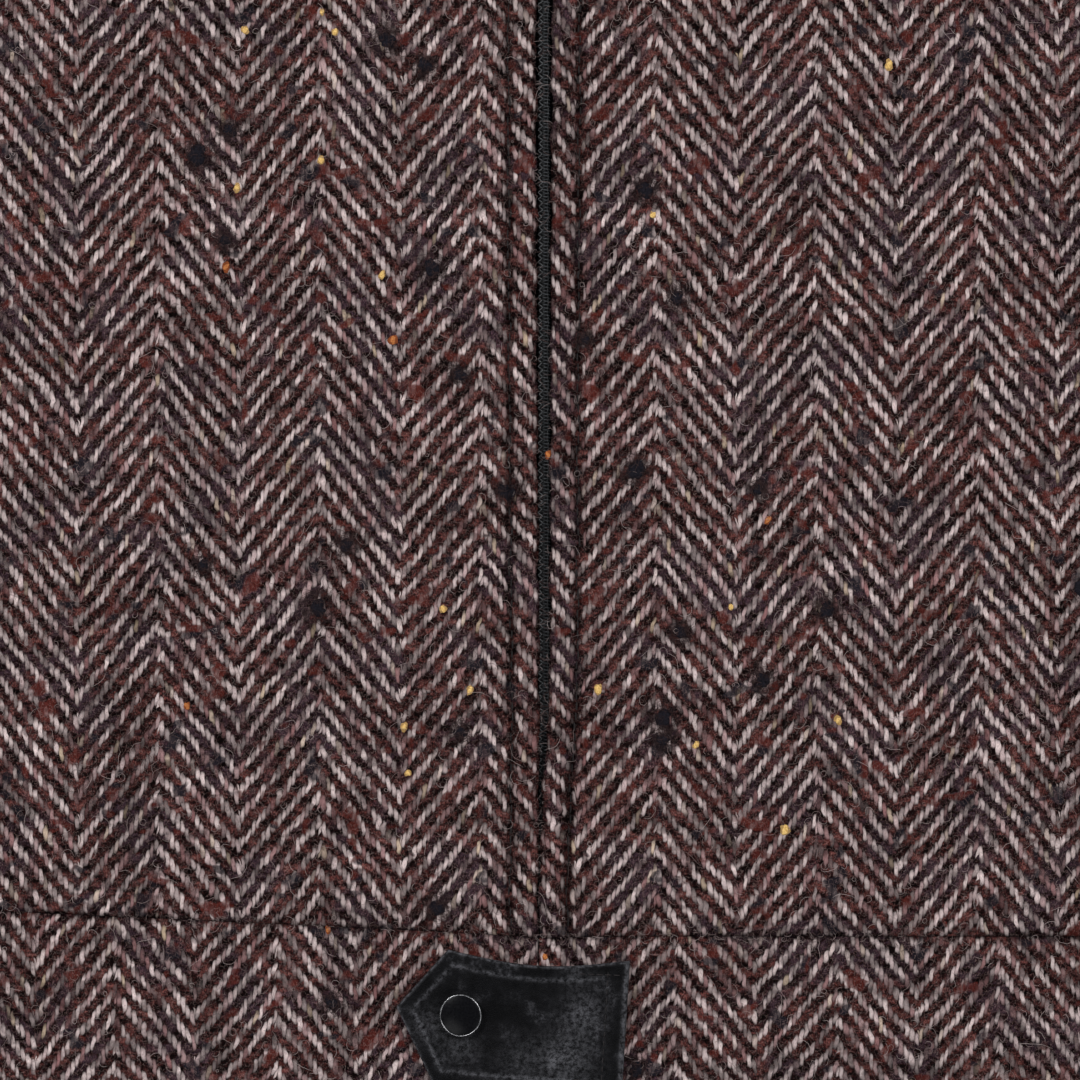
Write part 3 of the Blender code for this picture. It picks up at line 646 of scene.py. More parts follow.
def back_skirt_grid():
    return body_grid(
        lambda u: along((-HEM_HALF, HEM_Y), (HEM_HALF, HEM_Y), u),
        lambda u: along((-WAIST_HALF, WAIST_Y), (WAIST_HALF, WAIST_Y), u),
        lambda t: skirt_side(-1, t),
        lambda t: skirt_side(1, t),
        NEAR_EDGE,
        NEAR_EDGE,
        80,
        SKIRT,
        60,
    )


def sleeve_edges(side):
    def armhole_edge(t):
        return armhole(side, t)

    def down(turn, reach):
        return (side * reach * math.sin(turn), -reach * math.cos(turn))

    def plus(point, step):
        return (point[0] + step[0], point[1] + step[1])

    start_in, start_out = armhole(side, 0.0), armhole(side, 1.0)
    cuff_in = plus(start_in, down(SLEEVE_TURN, UNDERARM_SEAM))
    cuff_out = plus(cuff_in, (side * CUFF * math.cos(FOREARM_TURN), CUFF * math.sin(FOREARM_TURN)))
    inner_high = plus(start_in, down(UPPER_ARM_TURN, INNER_REACH))
    inner_low = plus(cuff_in, down(FOREARM_TURN, -INNER_REACH))
    outer_high = plus(start_out, (side * CAP_REACH * math.cos(CAP_SLOPE), -CAP_REACH * math.sin(CAP_SLOPE)))
    outer_low = plus(cuff_out, down(FOREARM_TURN, -FOREARM_REACH))
    return (
        armhole_edge,
        lambda t: along(cuff_in, cuff_out, t),
        lambda t: bezier([start_in, inner_high, inner_low, cuff_in], t),
        lambda t: bezier([start_out, outer_high, outer_low, cuff_out], t),
    )


def sleeve_grid(side, across, up):
    """Rows run from the armhole to the cuff, columns from the inner seam to the outer one."""
    top, cuff, inner, outer = sleeve_edges(side)
    length = 0.5
    v = spread(length, NEAR_EDGE, NEAR_EDGE, up)[0] / length
    starts, ends = inner(v), outer(v)
    width = np.hypot(ends[0] - starts[0], ends[1] - starts[1])
    u = spread(width, NEAR_EDGE, NEAR_EDGE, across) / width[:, None]
    return patch(top, cuff, inner, outer, u, v)


def sleeve_heights(side, table, x, y):
    total = 0 * x
    for share_along, share_across, turn, *sizes in table:
        mx, my = patch(*sleeve_edges(side), np.array([[share_across]]), [share_along])
        total = total + ridge(x, y, (float(mx[0, 0]), float(my[0, 0])), side * turn, *sizes)
    return total


def sleeve_top(side):
    def height(x, y):
        return PRESSED + WALL + swell(x, y) + sleeve_heights(side, SLEEVE_CREASES, x, y)

    return height


def turned_uv(x, y, turn, origin):
    """Coordinates along and across a direction, for a piece cut on its own grain."""
    c, s = math.cos(turn), math.sin(turn)
    dx, dy = x - origin[0], y - origin[1]
    return dx * c + dy * s, dy * c - dx * s


# Materials, written as arithmetic on node sockets


def linear(share):
    return share / 12.92 if share <= 0.04 else ((share + 0.055) / 1.055) ** 2.4


def srgb(*levels):
    """A colour's red, green and blue levels from 0 to 255, as the linear shares that a shader takes."""
    return tuple(linear(level / 255) for level in levels)


class Wire:
    """A node's output, with the usual signs for arithmetic."""

    def __init__(self, shader, socket):
        self.shader, self.socket = shader, socket

    def __add__(self, other):
        return self.shader.math("ADD", self, other)

    def __sub__(self, other):
        return self.shader.math("SUBTRACT", self, other)

    def __rsub__(self, other):
        return self.shader.math("SUBTRACT", other, self)

    def __mul__(self, other):
        return self.shader.math("MULTIPLY", self, other)

    __radd__ = __add__
    __rmul__ = __mul__


class Shader:
    """One material with a Principled shader. A number that is the same all over is set on its socket."""

    def __init__(self, name, **sockets):
        self.material = bpy.data.materials.new(name)
        self.material.use_nodes = True
        self.tree = self.material.node_tree
        self.main = self.tree.nodes["Principled BSDF"]
        for key, value in sockets.items():
            self.put(self.main.inputs[key.replace("_", " ")], value)

    def put(self, socket, value):
        if isinstance(value, Wire):
            self.tree.links.new(value.socket, socket)
        elif isinstance(value, (tuple, list)) and len(value) == 3 and socket.type == "RGBA":
            socket.default_value = (*value, 1)
        else:
            socket.default_value = value

    def node(self, kind, output=0, settings=None, **inputs):
        made = self.tree.nodes.new("ShaderNode" + kind)
        for key, value in (settings or {}).items():
            setattr(made, key, value)
        for key, value in inputs.items():
            self.put(made.inputs[int(key[1:]) if key[0] == "i" and key[1:].isdigit() else key], value)
        return Wire(self, made.outputs[output])

    def math(self, operation, *values):
        inputs = {f"i{k}": value for k, value in enumerate(values)}
        return self.node("Math", settings={"operation": operation}, **inputs)

    def step(self, low, high, value, start=0.0, end=1.0):
        smoothed = {"interpolation_type": "SMOOTHSTEP"}
        return self.node("MapRange", settings=smoothed, i0=value, i1=low, i2=high, i3=start, i4=end)

    def vector(self, x, y, z=0.0):
        return self.node("CombineXYZ", i0=x, i1=y, i2=z)

    def split(self, vector):
        made = self.tree.nodes.new("ShaderNodeSeparateXYZ")
        self.put(made.inputs[0], vector)
        return [Wire(self, out) for out in made.outputs]

    def uv(self, name):
        return self.split(self.node("UVMap", settings={"uv_map": name}))

    def place(self):
        return self.node("TexCoord", output="Object")

    def noise(self, vector, scale, detail=2.0, roughness=0.5, output=0, dimensions="3D"):
        sockets = {"Vector": vector, "Scale": scale, "Detail": detail, "Roughness": roughness}
        return self.node("TexNoise", output=output, settings={"noise_dimensions": dimensions}, **sockets)

    def flat_noise(self, vector, scale, detail=2.0, roughness=0.5, output=0):
        """Noise in the plane of the weave, which renders faster."""
        return self.noise(vector, scale, detail, roughness, output, "2D")

    def random(self, x, y):
        return self.node("TexWhiteNoise", output=1, Vector=self.vector(x, y, 0.5))

    def cracks(self, vector, scale, dimensions="3D"):
        settings = {"feature": "DISTANCE_TO_EDGE", "voronoi_dimensions": dimensions}
        return self.node("TexVoronoi", settings=settings, Vector=vector, Scale=scale)

    def ramp(self, value, stops):
        made = self.tree.nodes.new("ShaderNodeValToRGB")
        ramp = made.color_ramp
        while len(ramp.elements) < len(stops):
            ramp.elements.new(0.5)
        for element, (place, colour) in zip(ramp.elements, stops):
            element.position = place
            element.color = (*srgb(*colour), 1)
        self.put(made.inputs[0], value)
        return Wire(self, made.outputs[0])

    def mix(self, share, first, second):
        return self.node("Mix", output=2, settings={"data_type": "RGBA"}, i0=share, i6=first, i7=second)

    def scale(self, colour, amount):
        """A colour times a number that varies."""
        return self.node("VectorMath", settings={"operation": "SCALE"}, i0=colour, Scale=amount)

    def bump(self, height, distance, strength=1.0):
        normal = self.node("Bump", Height=height, Distance=distance, Strength=strength)
        self.put(self.main.inputs["Normal"], normal)

    def colour(self, value):
        self.put(self.main.inputs["Base Color"], value)


LEAN = 0.95  # how many ends a float leans over in one repeat of the twill
TWIST = 0.28  # how much more it leans in the columns that rise to the right
FLOAT_HALF_WIDTH = 0.58
FLOAT_HALF_LENGTH = 0.26


def float_shape(s, u, v):
    """Where a point lies in its warp float: far is 0 at the float's middle and about 1 at its edge."""
    end, repeat = COLUMN / ENDS, 4 * PICK
    ends = u * (1 / end)
    falls = s.math("GREATER_THAN", s.math("FRACT", ends * (0.5 / ENDS)), 0.5)
    level = v * (1 / repeat) - s.math("PINGPONG", ends, ENDS) * 0.25 + falls * 0.25
    rough = s.math("FRACT", level + 0.25) - 0.5
    across = ends - ((1 - falls * 2) * LEAN + TWIST) * rough
    index = s.math("FLOOR", across)
    a = (across - index - 0.5) * (1 / FLOAT_HALF_WIDTH)
    falls = s.math("GREATER_THAN", s.math("FRACT", (index + 0.5) * (0.5 / ENDS)), 0.5)
    level = v * (1 / repeat) - s.math("PINGPONG", index + 0.5, ENDS) * 0.25 + falls * 0.25 + 0.25
    row = s.math("FLOOR", level)
    b = (level - row - 0.5) * (1 / FLOAT_HALF_LENGTH)
    chance = s.split(s.random(index, row))
    return a * a + b * b + (chance[2] - 0.5) * 0.6, chance


def tweed_material():
    """Herringbone: pale warp floats in columns of slanting lines, over a dark weft of mixed wool."""
    s = Shader("tweed", Roughness=1.0, Specular_IOR_Level=0.02)
    u0, v0, _ = s.uv("weave")
    flat = s.vector(u0, v0)
    slow = s.split(s.flat_noise(flat, 62, 2, output=1))
    fine = s.split(s.flat_noise(flat, 300, 1, output=1))
    u = u0 + (slow[0] - 0.5) * 0.0024 + (fine[0] - 0.5) * 0.0012
    v = v0 + (slow[1] - 0.5) * 0.0032 + (fine[1] - 0.5) * 0.0018
    far, chance = float_shape(s, u, v)

    # Where the wool is pressed the floats fade out, as matted wool, and the cloth is darkened: painted shade
    # in the stitch channel, the waist seam and on the rolled front edges.
    flattened_and_shaded = s.node("Attribute", output="Fac", settings={"attribute_name": "pressed_and_shaded"})
    fibres = s.flat_noise(s.vector(u0 * 2.4, v0), 900, 4, 0.82)
    # The floats fade from their middles to their edges: painted shade of their rounded form, with outlines
    # roughened by the fibres.
    mask = s.step(-0.15, 1.75, far + (fibres - 0.5) * 3.2 + flattened_and_shaded * 1.8, 1.0, 0.0)
    cover = s.flat_noise(flat, 105, 3, 0.6)
    clouds = s.split(s.flat_noise(flat, 40, 2, output=1))
    strength = s.step(0.0, 0.42, chance[0], 0.38, 1.0) * s.step(0.36, 0.54, cover, 0.38, 1.0)
    pale = s.ramp(
        chance[1],
        [(0.0, (182, 160, 136)), (0.04, (194, 176, 173)), (0.50, (210, 191, 189)), (0.72, (184, 162, 161)),
         (0.9, (152, 122, 122)), (1.0, (136, 96, 96))],
    )
    pale = s.scale(pale, s.step(0.28, 0.72, fibres, 0.44, 1.28))

    weft = s.flat_noise(s.vector(u0 * 0.6, v0), 300, 4, 0.75)
    ground = s.ramp(
        weft,
        [(0.36, (8, 4, 4)), (0.46, (24, 11, 11)), (0.54, (46, 25, 24)), (0.63, (70, 38, 35)),
         (0.74, (78, 53, 50))],
    )
    navy = s.step(0.50, 0.60, clouds[0]) * s.step(0.42, 0.56, weft)
    ground = s.mix(navy * 0.75, ground, srgb(32, 27, 34))
    # The first factor darkens the ground next to the floats: painted shade where they lie over it. The cover
    # noise varies its tone at random.
    ground = s.scale(ground, s.step(0.5, 3.0, far, 0.42, 1.2) * s.step(0.40, 0.62, cover, 1.25, 0.75))
    ground = s.scale(ground, s.step(0.30, 0.70, fibres, 0.16, 2.0))

    # Slubs: soft lumps of wool that cover the floats, dark red or nearly black.
    lumps = s.flat_noise(s.vector(u * 0.8 + 5.0, v), 105, 2)
    slub = s.step(0.63, 0.71, lumps)
    slub_wool = s.mix(s.step(0.47, 0.53, clouds[1]), srgb(70, 30, 26), srgb(26, 24, 29))
    slub_wool = s.scale(slub_wool, s.step(0.30, 0.70, fibres, 0.45, 1.6))
    cloth = s.mix(mask * strength, ground, pale)
    cloth = s.mix(slub * 0.85, cloth, slub_wool)

    tangle = s.split(s.flat_noise(flat, 480, 2, output=1))
    loose = s.vector(u0 + (tangle[0] - 0.5) * 0.0042, v0 + (tangle[1] - 0.5) * 0.0042)
    hair = s.step(0.0, 0.07, s.cracks(loose, 430, "2D"), 0.42, 0.0) * s.step(0.32, 0.60, fibres)
    cloth = s.mix(hair, cloth, srgb(134, 112, 108))
    # The clouds vary the tone at random; the pressed amount darkens the cloth as painted shade.
    s.colour(s.scale(cloth, s.step(0.35, 0.65, clouds[2], 0.86, 1.12) * (1 - flattened_and_shaded * 0.42)))
    s.bump(fibres, 0.0009, 0.6)
    return s.material


def fuzz_material():
    s = Shader("wool_fuzz", Roughness=0.9, Specular_IOR_Level=0.05)
    tint = s.node("Attribute", output="Fac", settings={"attribute_name": "tint"})
    hairs = [(0.0, (30, 24, 27)), (0.35, (72, 54, 52)), (0.6, (108, 93, 91)), (1.0, (158, 144, 142))]
    s.colour(s.ramp(tint, hairs))
    return s.material


def felt_material(name, dark, light, scale=1500):
    """Matted wool of a nub or fleck."""
    s = Shader(name, Roughness=0.95, Specular_IOR_Level=0.04)
    grain = s.noise(s.place(), scale, 4, 0.7)
    s.colour(s.ramp(grain, [(0.3, dark), (0.7, light)]))
    s.bump(grain, 0.0006, 1.0)
    return s.material


def thread_material(name, dark, light):
    s = Shader(name, Roughness=0.7, Specular_IOR_Level=0.3)
    twist = s.noise(s.place(), 2600, 2)
    s.colour(s.ramp(twist, [(0.35, dark), (0.65, light)]))
    s.bump(twist, 0.0003, 0.8)
    return s.material


def coil_material(name, dark, light):
    s = Shader(name, Roughness=0.38, Specular_IOR_Level=0.4)
    grain = s.noise(s.place(), 900, 3)
    s.colour(s.ramp(grain, [(0.3, dark), (0.7, light)]))
    s.bump(grain, 0.0001, 0.5)
    return s.material


def tape_material():
    """Black zip tape in a fine herringbone weave."""
    s = Shader("black_zip_tape", Roughness=0.9, Specular_IOR_Level=0.06)
    x, y, _ = s.split(s.place())
    rib = s.math("PINGPONG", x, 0.0022)
    slant = s.math("FRACT", (y + rib) * (1 / 0.0011))
    raised = s.step(0.1, 0.5, s.math("ABSOLUTE", slant - 0.5) * 2)
    s.colour(s.mix(raised, srgb(7, 7, 8), srgb(24, 24, 26)))
    s.bump(raised, 0.0002, 0.8)
    return s.material


def nickel_material():
    s = Shader("dark_nickel", Roughness=0.34, Metallic=1.0)
    x, y, z = s.split(s.place())
    brushed = s.noise(s.vector(x * 6, y, z * 6), 900, 3)
    spots = s.noise(s.place(), 240, 3)
    plate = [(0.35, (58, 57, 57)), (0.6, (92, 91, 90)), (0.75, (116, 114, 112))]
    s.colour(s.ramp(brushed * 0.5 + spots * 0.5, plate))
    s.put(s.main.inputs["Roughness"], s.step(0.3, 0.7, spots, 0.36, 0.56))
    s.bump(brushed, 0.00004, 0.6)
    return s.material


def leather_material():
    """Black leather with a fine grain, rubbed grey on its ridges and in soft patches, with a painted
    highlight along its sewn end.
    """
    s = Shader("black_leather", Specular_IOR_Level=0.05)
    place = s.place()
    wear_and_highlight = s.node("Attribute", output="Fac", settings={"attribute_name": "wear_and_highlight"})
    grain = s.cracks(place, 1500)
    fine = s.noise(place, 2400, 3, 0.6)
    clouds = s.noise(place, 95, 4, 0.65)
    scuffs = s.noise(place, 620, 4, 0.75)
    patches = s.step(0.52, 0.72, clouds, 0.0, 0.45) * s.step(0.4, 0.66, scuffs)
    # The attribute holds rubbing and a painted highlight along the tab's sewn end.
    worn_and_highlit = wear_and_highlight * s.step(0.34, 0.70, scuffs) + patches
    base = s.mix(s.step(0.35, 0.65, clouds), srgb(4, 4, 5), srgb(13, 13, 15))
    s.colour(s.mix(worn_and_highlit, base, srgb(80, 80, 84)))
    s.put(s.main.inputs["Roughness"], s.step(0.3, 0.7, scuffs, 0.44, 0.62))
    s.bump(s.step(0.0, 0.25, grain) * 0.6 + fine * 0.5 + scuffs * 0.6, 0.00022, 0.8)
    return s.material


def lacquer_material():
    s = Shader("black_lacquer", Specular_IOR_Level=0.10)
    dust = s.noise(s.place(), 1400, 4, 0.7)
    s.colour(s.ramp(dust, [(0.4, (3, 3, 5)), (0.75, (9, 9, 12))]))
    s.put(s.main.inputs["Roughness"], s.step(0.3, 0.7, dust, 0.24, 0.36))
    s.bump(s.noise(s.place(), 500, 2), 0.00003, 0.5)
    return s.material


def ring_material():
    s = Shader("silver_ring", Metallic=1.0)
    spots = s.noise(s.place(), 900, 3)
    s.colour(s.ramp(spots, [(0.35, (122, 122, 124)), (0.65, (168, 168, 170))]))
    s.put(s.main.inputs["Roughness"], s.step(0.3, 0.7, spots, 0.22, 0.4))
    s.bump(spots, 0.00003, 0.5)
    return s.material


def floor_material():
    s = Shader("pale_floor", Roughness=0.9, Specular_IOR_Level=0.2)
    cloud = s.noise(s.place(), 3, 2)
    s.colour(s.mix(s.step(0.3, 0.7, cloud), srgb(188, 188, 187), srgb(193, 193, 192)))
    return s.material


TWEED = tweed_material()
FUZZ = fuzz_material()
NUB = felt_material("navy_nub", (7, 7, 9), (33, 31, 38))
FLECKS = {
    "yellow": (
        felt_material("yellow_fleck", (170, 124, 58), (236, 204, 134), 2200),
        felt_material("yellow_halo", (84, 56, 36), (206, 168, 108), 2600),
    ),
    "orange": (
        felt_material("orange_fleck", (120, 62, 36), (196, 128, 74), 2200),
        felt_material("orange_halo", (64, 32, 22), (150, 82, 46), 2600),
    ),
}
THREAD = thread_material("dark_thread", (10, 8, 9), (28, 22, 23))
COIL_THREAD = thread_material("coil_thread", (46, 47, 48), (120, 122, 124))
COIL = coil_material("black_nylon_coil", (9, 9, 10), (20, 20, 22))
# A lighter copy of the coil, for the turns on +X: painted highlight on their wires.
HIGHLIGHT_COIL = coil_material("highlight_painted_nylon_coil", (40, 42, 44), (78, 80, 84))
CORE = thread_material("coil_core", (5, 5, 6), (12, 12, 13))
TAPE = tape_material()
NICKEL = nickel_material()
LEATHER_BLACK = leather_material()
LACQUER = lacquer_material()
SILVER = ring_material()


# Tweed panels


def ride(obj, slot, *nodes, body="jacket"):
    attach(obj, body)
    if nodes:
        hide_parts(*nodes)
    return obj


def cut_area(x, y, z):
    """Area of a grid of points with its folds laid out, from its cells' diagonals."""
    first = np.stack([axis[1:, 1:] - axis[:-1, :-1] for axis in (x, y, z)], -1)
    second = np.stack([axis[1:, :-1] - axis[:-1, 1:] for axis in (x, y, z)], -1)
    return float(np.linalg.norm(np.cross(first, second), axis=-1).sum() / 2)


def declare(x, y, area, rests_on):
    width, length = float(x.max() - x.min()), float(y.max() - y.min())
    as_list(rests_on)


def store(obj, name, values):
    """A number for each point, for its material to read."""
    attribute = obj.data.attributes.new(name, "FLOAT", "POINT")
    attribute.data.foreach_set("value", np.asarray(values, np.float32).ravel())


def front_panel(name, x, y, rests_on):
    obj = shell(name, x, y, front_underside(x, y), front_top(x, y), (x - VALLEY[name], y))
    points = np.empty(len(obj.data.vertices) * 3, np.float32)
    obj.data.vertices.foreach_get("co", points)
    # Pressed wool, for its material to fade the floats and paint shade in these hollows and on the rolled
    # edges.
    store(obj, "pressed_and_shaded", pressed_and_shaded(points[0::3], points[1::3]))
    ride(obj, "tweed", name)
    declare(x, y, cut_area(x, y, front_underside(x, y)), rests_on)


def back_panel(name, x, y):
    lift = BACK_SHARE * swell(x, y)
    obj = shell(name, x, y, lift + folds(BACK_HOLLOWS, x, y), lift + WALL, (x, y))
    ride(obj, "tweed", name)
    declare(x, y, cut_area(x, y, lift), ["floor"])


def sleeve(side, side_name):
    axis = side * (SLEEVE_TURN + math.radians(3))
    origin = shoulder_tip(side)
    for name, across, up in (("upper_sleeve", 48, 130), ("under_sleeve", 32, 90)):
        x, y = sleeve_grid(side, across, up)
        shown = name == "upper_sleeve"
        if shown:
            bottom, top = PRESSED + swell(x, y), sleeve_top(side)(x, y)
        else:
            top = BACK_SHARE * swell(x, y) + WALL
            bottom = top - WALL + sleeve_heights(side, UNDER_SLEEVE_HOLLOWS, x, y)
        obj = shell(f"{name}_{side_name}", x, y, bottom, top, turned_uv(x, y, axis, origin))
        ride(obj, "tweed", f"{name}_{side_name}")
        along_arm, over_arm = turned_uv(x, y, axis, origin)
        rests_on = [f"under_sleeve_{side_name}"] if shown else ["floor"]
        declare(along_arm, over_arm, cut_area(x, y, bottom), rests_on)


def collar():
    """One strip with rounded edges: from the zip round a side fold, behind the neck and back to the zip."""
    up = spread(COLLAR, NEAR_EDGE, NEAR_EDGE, 12)[0]
    share, rim = up / COLLAR, edge_profile(np.minimum(up, COLLAR - up))
    rings, lengths = [], []

    def add(x, y, low, high, end=1.0):
        half, middle = (high - low) / 2 * rim * end, (high + low) / 2
        upper, lower = np.stack([x, y, middle + half], 1), np.stack([x, y, middle - half], 1)
        rings.append(np.concatenate([upper, lower[::-1]]))

    def section(side, drop, t):
        x, y = neck_curve(side, drop, t)
        lean = COLLAR_LEAN * math.sin(t * math.pi / 2)
        x0, y0 = x - side * GAP * math.sin(t * math.pi / 2), y + GAP
        return x0 - side * COLLAR * math.sin(lean) * share, y0 + COLLAR * math.cos(lean) * share

    dense = np.linspace(0, 1, 400)
    arc = neck_curve(1, NECK_DROP_FRONT, neck_from_zip(1, dense))
    walked = np.concatenate([[0], np.cumsum(np.hypot(np.diff(arc[0]), np.diff(arc[1])))])
    places = spread(walked[-1], NEAR_ZIP, [0], 26)[0]
    shares = [float(neck_from_zip(1, np.interp(d, walked, dense))) for d in places]

    def front(side, order):
        for k in order:
            x, y = section(side, NECK_DROP_FRONT, shares[k])
            add(x, y, front_underside(x, y), front_top(x, y), float(edge_profile(places[k])))
            lengths.append(side * (places[k] - walked[-1]))

    def fold(side, turns):
        x, y = section(side, NECK_DROP_FRONT, 1)
        for turn in turns:
            half = (FOLD_RADIUS - GAP / 2) / 2 * rim
            faces = []
            for radius in ((FOLD_RADIUS + GAP / 2) / 2 + half, (FOLD_RADIUS + GAP / 2) / 2 - half):
                out = radius * math.cos(turn)
                faces.append(
                    np.stack(
                        [
                            x + side * out * math.cos(COLLAR_LEAN),
                            y + out * math.sin(COLLAR_LEAN),
                            BACK_TOP + GAP / 2 + radius * math.sin(turn),
                        ],
                        1,
                    )
                )
            rings.append(np.concatenate([faces[0], faces[1][::-1]]))
            lengths.append(side * (math.pi / 2 - turn) * FOLD_RADIUS / 2)

    turns = np.linspace(math.pi / 2, -math.pi / 2, 14)[1:-1]
    front(1, range(len(places)))
    fold(1, turns)
    # Behind the neck the strip lies face down, so its outer face is the lower one.
    back_half = NECK_HALF * 1.06
    for t in np.linspace(1, -1, 49):
        side = 1 if t > 0 else -1
        x, y = section(side, NECK_DROP_BACK, abs(t))
        add(x, y, BACK_TOP + 0 * x, 0 * x)
        lengths.append(0.005 + back_half * (1 - t))
    fold(-1, turns[::-1])
    front(-1, reversed(range(len(places))))

    points = np.concatenate(rings)
    ring = len(rings[0])
    first = np.arange(len(rings) - 1)[:, None] * ring + np.arange(ring)[None, :]
    after = np.arange(len(rings) - 1)[:, None] * ring + (np.arange(ring)[None, :] + 1) % ring
    faces = np.stack([first, after, after + ring, first + ring], -1).reshape(-1, 4)
    strip = np.concatenate([up, up[::-1]])
    uv = np.stack([np.repeat(lengths, ring), np.tile(strip, len(rings))], -1)
    obj = mesh_piece("collar", points, faces, TWEED, uv)
    weld(obj.data)
    ride(obj, "tweed", "collar")
    outer = np.stack(rings)[:, : len(up)]
    area = cut_area(outer[..., 0], outer[..., 1], outer[..., 2])


# Thread, coil and other thin tubes


def tubes(name, paths, radii, sides, material, across=(0, 0, 1)):
    """Round tubes along many paths of equal length, as one mesh. across is never along a path."""
    paths = np.asarray(paths, float)
    count, steps, _ = paths.shape
    tangent = np.gradient(paths, axis=1)
    tangent /= np.linalg.norm(tangent, axis=2, keepdims=True)
    aside = np.cross(tangent, np.array(across, float))
    aside /= np.linalg.norm(aside, axis=2, keepdims=True)
    over = np.cross(aside, tangent)
    turn = np.arange(sides) * 2 * math.pi / sides
    radii = np.broadcast_to(np.asarray(radii, float), (count, steps))[:, :, None, None]
    cosines, sines = np.cos(turn)[None, None, :, None], np.sin(turn)[None, None, :, None]
    ring = cosines * aside[:, :, None] + sines * over[:, :, None]
    points = (paths[:, :, None] + radii * ring).reshape(-1, 3)
    tube, level, corner = np.meshgrid(np.arange(count), np.arange(steps - 1), np.arange(sides), indexing="ij")
    start = (tube * steps + level) * sides
    a, b = start + corner, start + (corner + 1) % sides
    faces = np.stack([a, b, b + sides, a + sides], -1).reshape(-1, 4).tolist()
    for k in range(count):
        first, last = k * steps * sides, (k * steps + steps - 1) * sides
        faces.append([first + c for c in reversed(range(sides))])
        faces.append([last + c for c in range(sides)])
    return mesh_piece(name, points, faces, material)


def stitches(name, starts, ends, height, rise, radius, material):
    """Short stitches between pairs of points, bowed up in the middle and dipping at both ends."""
    t = np.array([0.0, 0.12, 0.35, 0.65, 0.88, 1.0])
    bow = np.array([-0.9, 0.1, 0.9, 0.9, 0.1, -0.9])
    starts, ends = np.asarray(starts), np.asarray(ends)
    xy = starts[:, None] + (ends - starts)[:, None] * t[None, :, None]
    z = height(xy[..., 0], xy[..., 1]) + rise * bow[None, :]
    radii = radius * np.array([0.4, 0.9, 1.0, 1.0, 0.9, 0.4])
    return tubes(name, np.concatenate([xy, z[..., None]], -1), radii, 6, material)


STITCH_PITCH = 0.0036
STITCH_LENGTH = 0.0029


def topstitching(side, side_name):
    """The row beside a front edge, from the hem to the collar's top, sunk in its channel."""
    y = np.arange(HEM_Y + 0.006, COLLAR_TOP_Y - 0.006, STITCH_PITCH)
    x = zip_edge(side, y) + side * STITCH_LINE
    clear = (under_tab(x, y) < 0.01) & (np.abs(y - WAIST_Y) > 0.003) & (np.abs(y - NECK_Y) > 0.003)
    x, y = x[clear], y[clear]
    starts, ends = np.stack([x, y], 1), np.stack([x, y + STITCH_LENGTH], 1)
    obj = stitches(f"topstitching_{side_name}", starts, ends, front_top, 0.00012, 0.00026, THREAD)
    ride(obj, "zip_tape")


COIL_PITCH = 0.00122
WIRE = 0.00027
CORE_LEVEL = (CHAIN_TOP + CHAIN_BOTTOM) / 2


def zip_coil(side, side_name):
    """A nylon coil whose turns reach past the middle between the other side's turns."""
    steps = 8
    # Turns on +X take the lighter copy of the nylon: painted highlight on the wires.
    wire, nylon = (WIRE, COIL) if side < 0 else (WIRE * 0.8, HIGHLIGHT_COIL)
    turns = int((CHAIN_END - CHAIN_START) / COIL_PITCH) - 1
    turn = np.arange(turns * steps) * 2 * math.pi / steps
    y = CHAIN_START + 0.0004 + turn / (2 * math.pi) * COIL_PITCH + (COIL_PITCH / 2 if side < 0 else 0)
    outer, head = CHAIN_HALF - WIRE, -0.00055
    wide = np.sign(np.cos(turn)) * np.abs(np.cos(turn)) ** 0.55
    high = np.sign(np.sin(turn)) * np.abs(np.sin(turn)) ** 0.7
    x = side * ((outer + head) / 2 + (outer - head) / 2 * wide)
    z = (CHAIN_TOP + CHAIN_BOTTOM) / 2 + ((CHAIN_TOP - CHAIN_BOTTOM) / 2 - WIRE) * high
    obj = tubes(f"zip_coil_{side_name}", np.stack([x, y, z], 1)[None], wire, 4, nylon, across=(0, 1, 0))
    ride(obj, "zip_coil", "zip_chain")
    y = np.array([CHAIN_START, (CHAIN_START + CHAIN_END) / 2, CHAIN_END])
    cords = [np.stack([side * place + 0 * y, y, CORE_LEVEL + 0 * y], 1) for place in (0.00065, 0.00145)]
    ride(tubes(f"coil_core_{side_name}", cords, 0.0004, 8, CORE), "zip_tape")
    # The chain stitch that sews the coil to its tape shows as loops on the wearer's right.
    period = 2 * COIL_PITCH
    y = np.arange(CHAIN_START + 0.001, CHAIN_END - 0.001, period / 6)
    phase = y / period * 2 * math.pi
    swing, thick = (0.00062, 0.00017) if side < 0 else (0.00010, 0.00008)
    x = side * (0.0013 + swing * np.sin(phase) + 0.0002 * np.sin(phase / 3))
    z = CHAIN_TOP - 0.00006 + 0.00010 * np.cos(phase * 2)
    ride(tubes(f"coil_thread_{side_name}", np.stack([x, y, z], 1)[None], thick, 3, COIL_THREAD), "zip_tape")


# Leather tab and snap


TAB_BORDER = 0.0052  # from its edges to the crease inside them
TAB_STRIP = 0.0075  # from its sewn end to the stitching across it

# Rubbed patches: place from the tab's tip, radius and strength
TAB_PATCHES = (
    (0.066, 0.002, 0.007, 0.75),
    (0.061, -0.014, 0.009, 0.75),
    (0.062, 0.016, 0.005, 0.40),
    (0.012, -0.006, 0.006, 0.50),
    (0.024, -0.014, 0.006, 0.45),
    (0.045, -0.016, 0.008, 0.35),
)


def upper_edge(u):
    return TAB_ABOVE - TAB_SAG * np.sin(math.pi * np.clip(u, 0, 1))


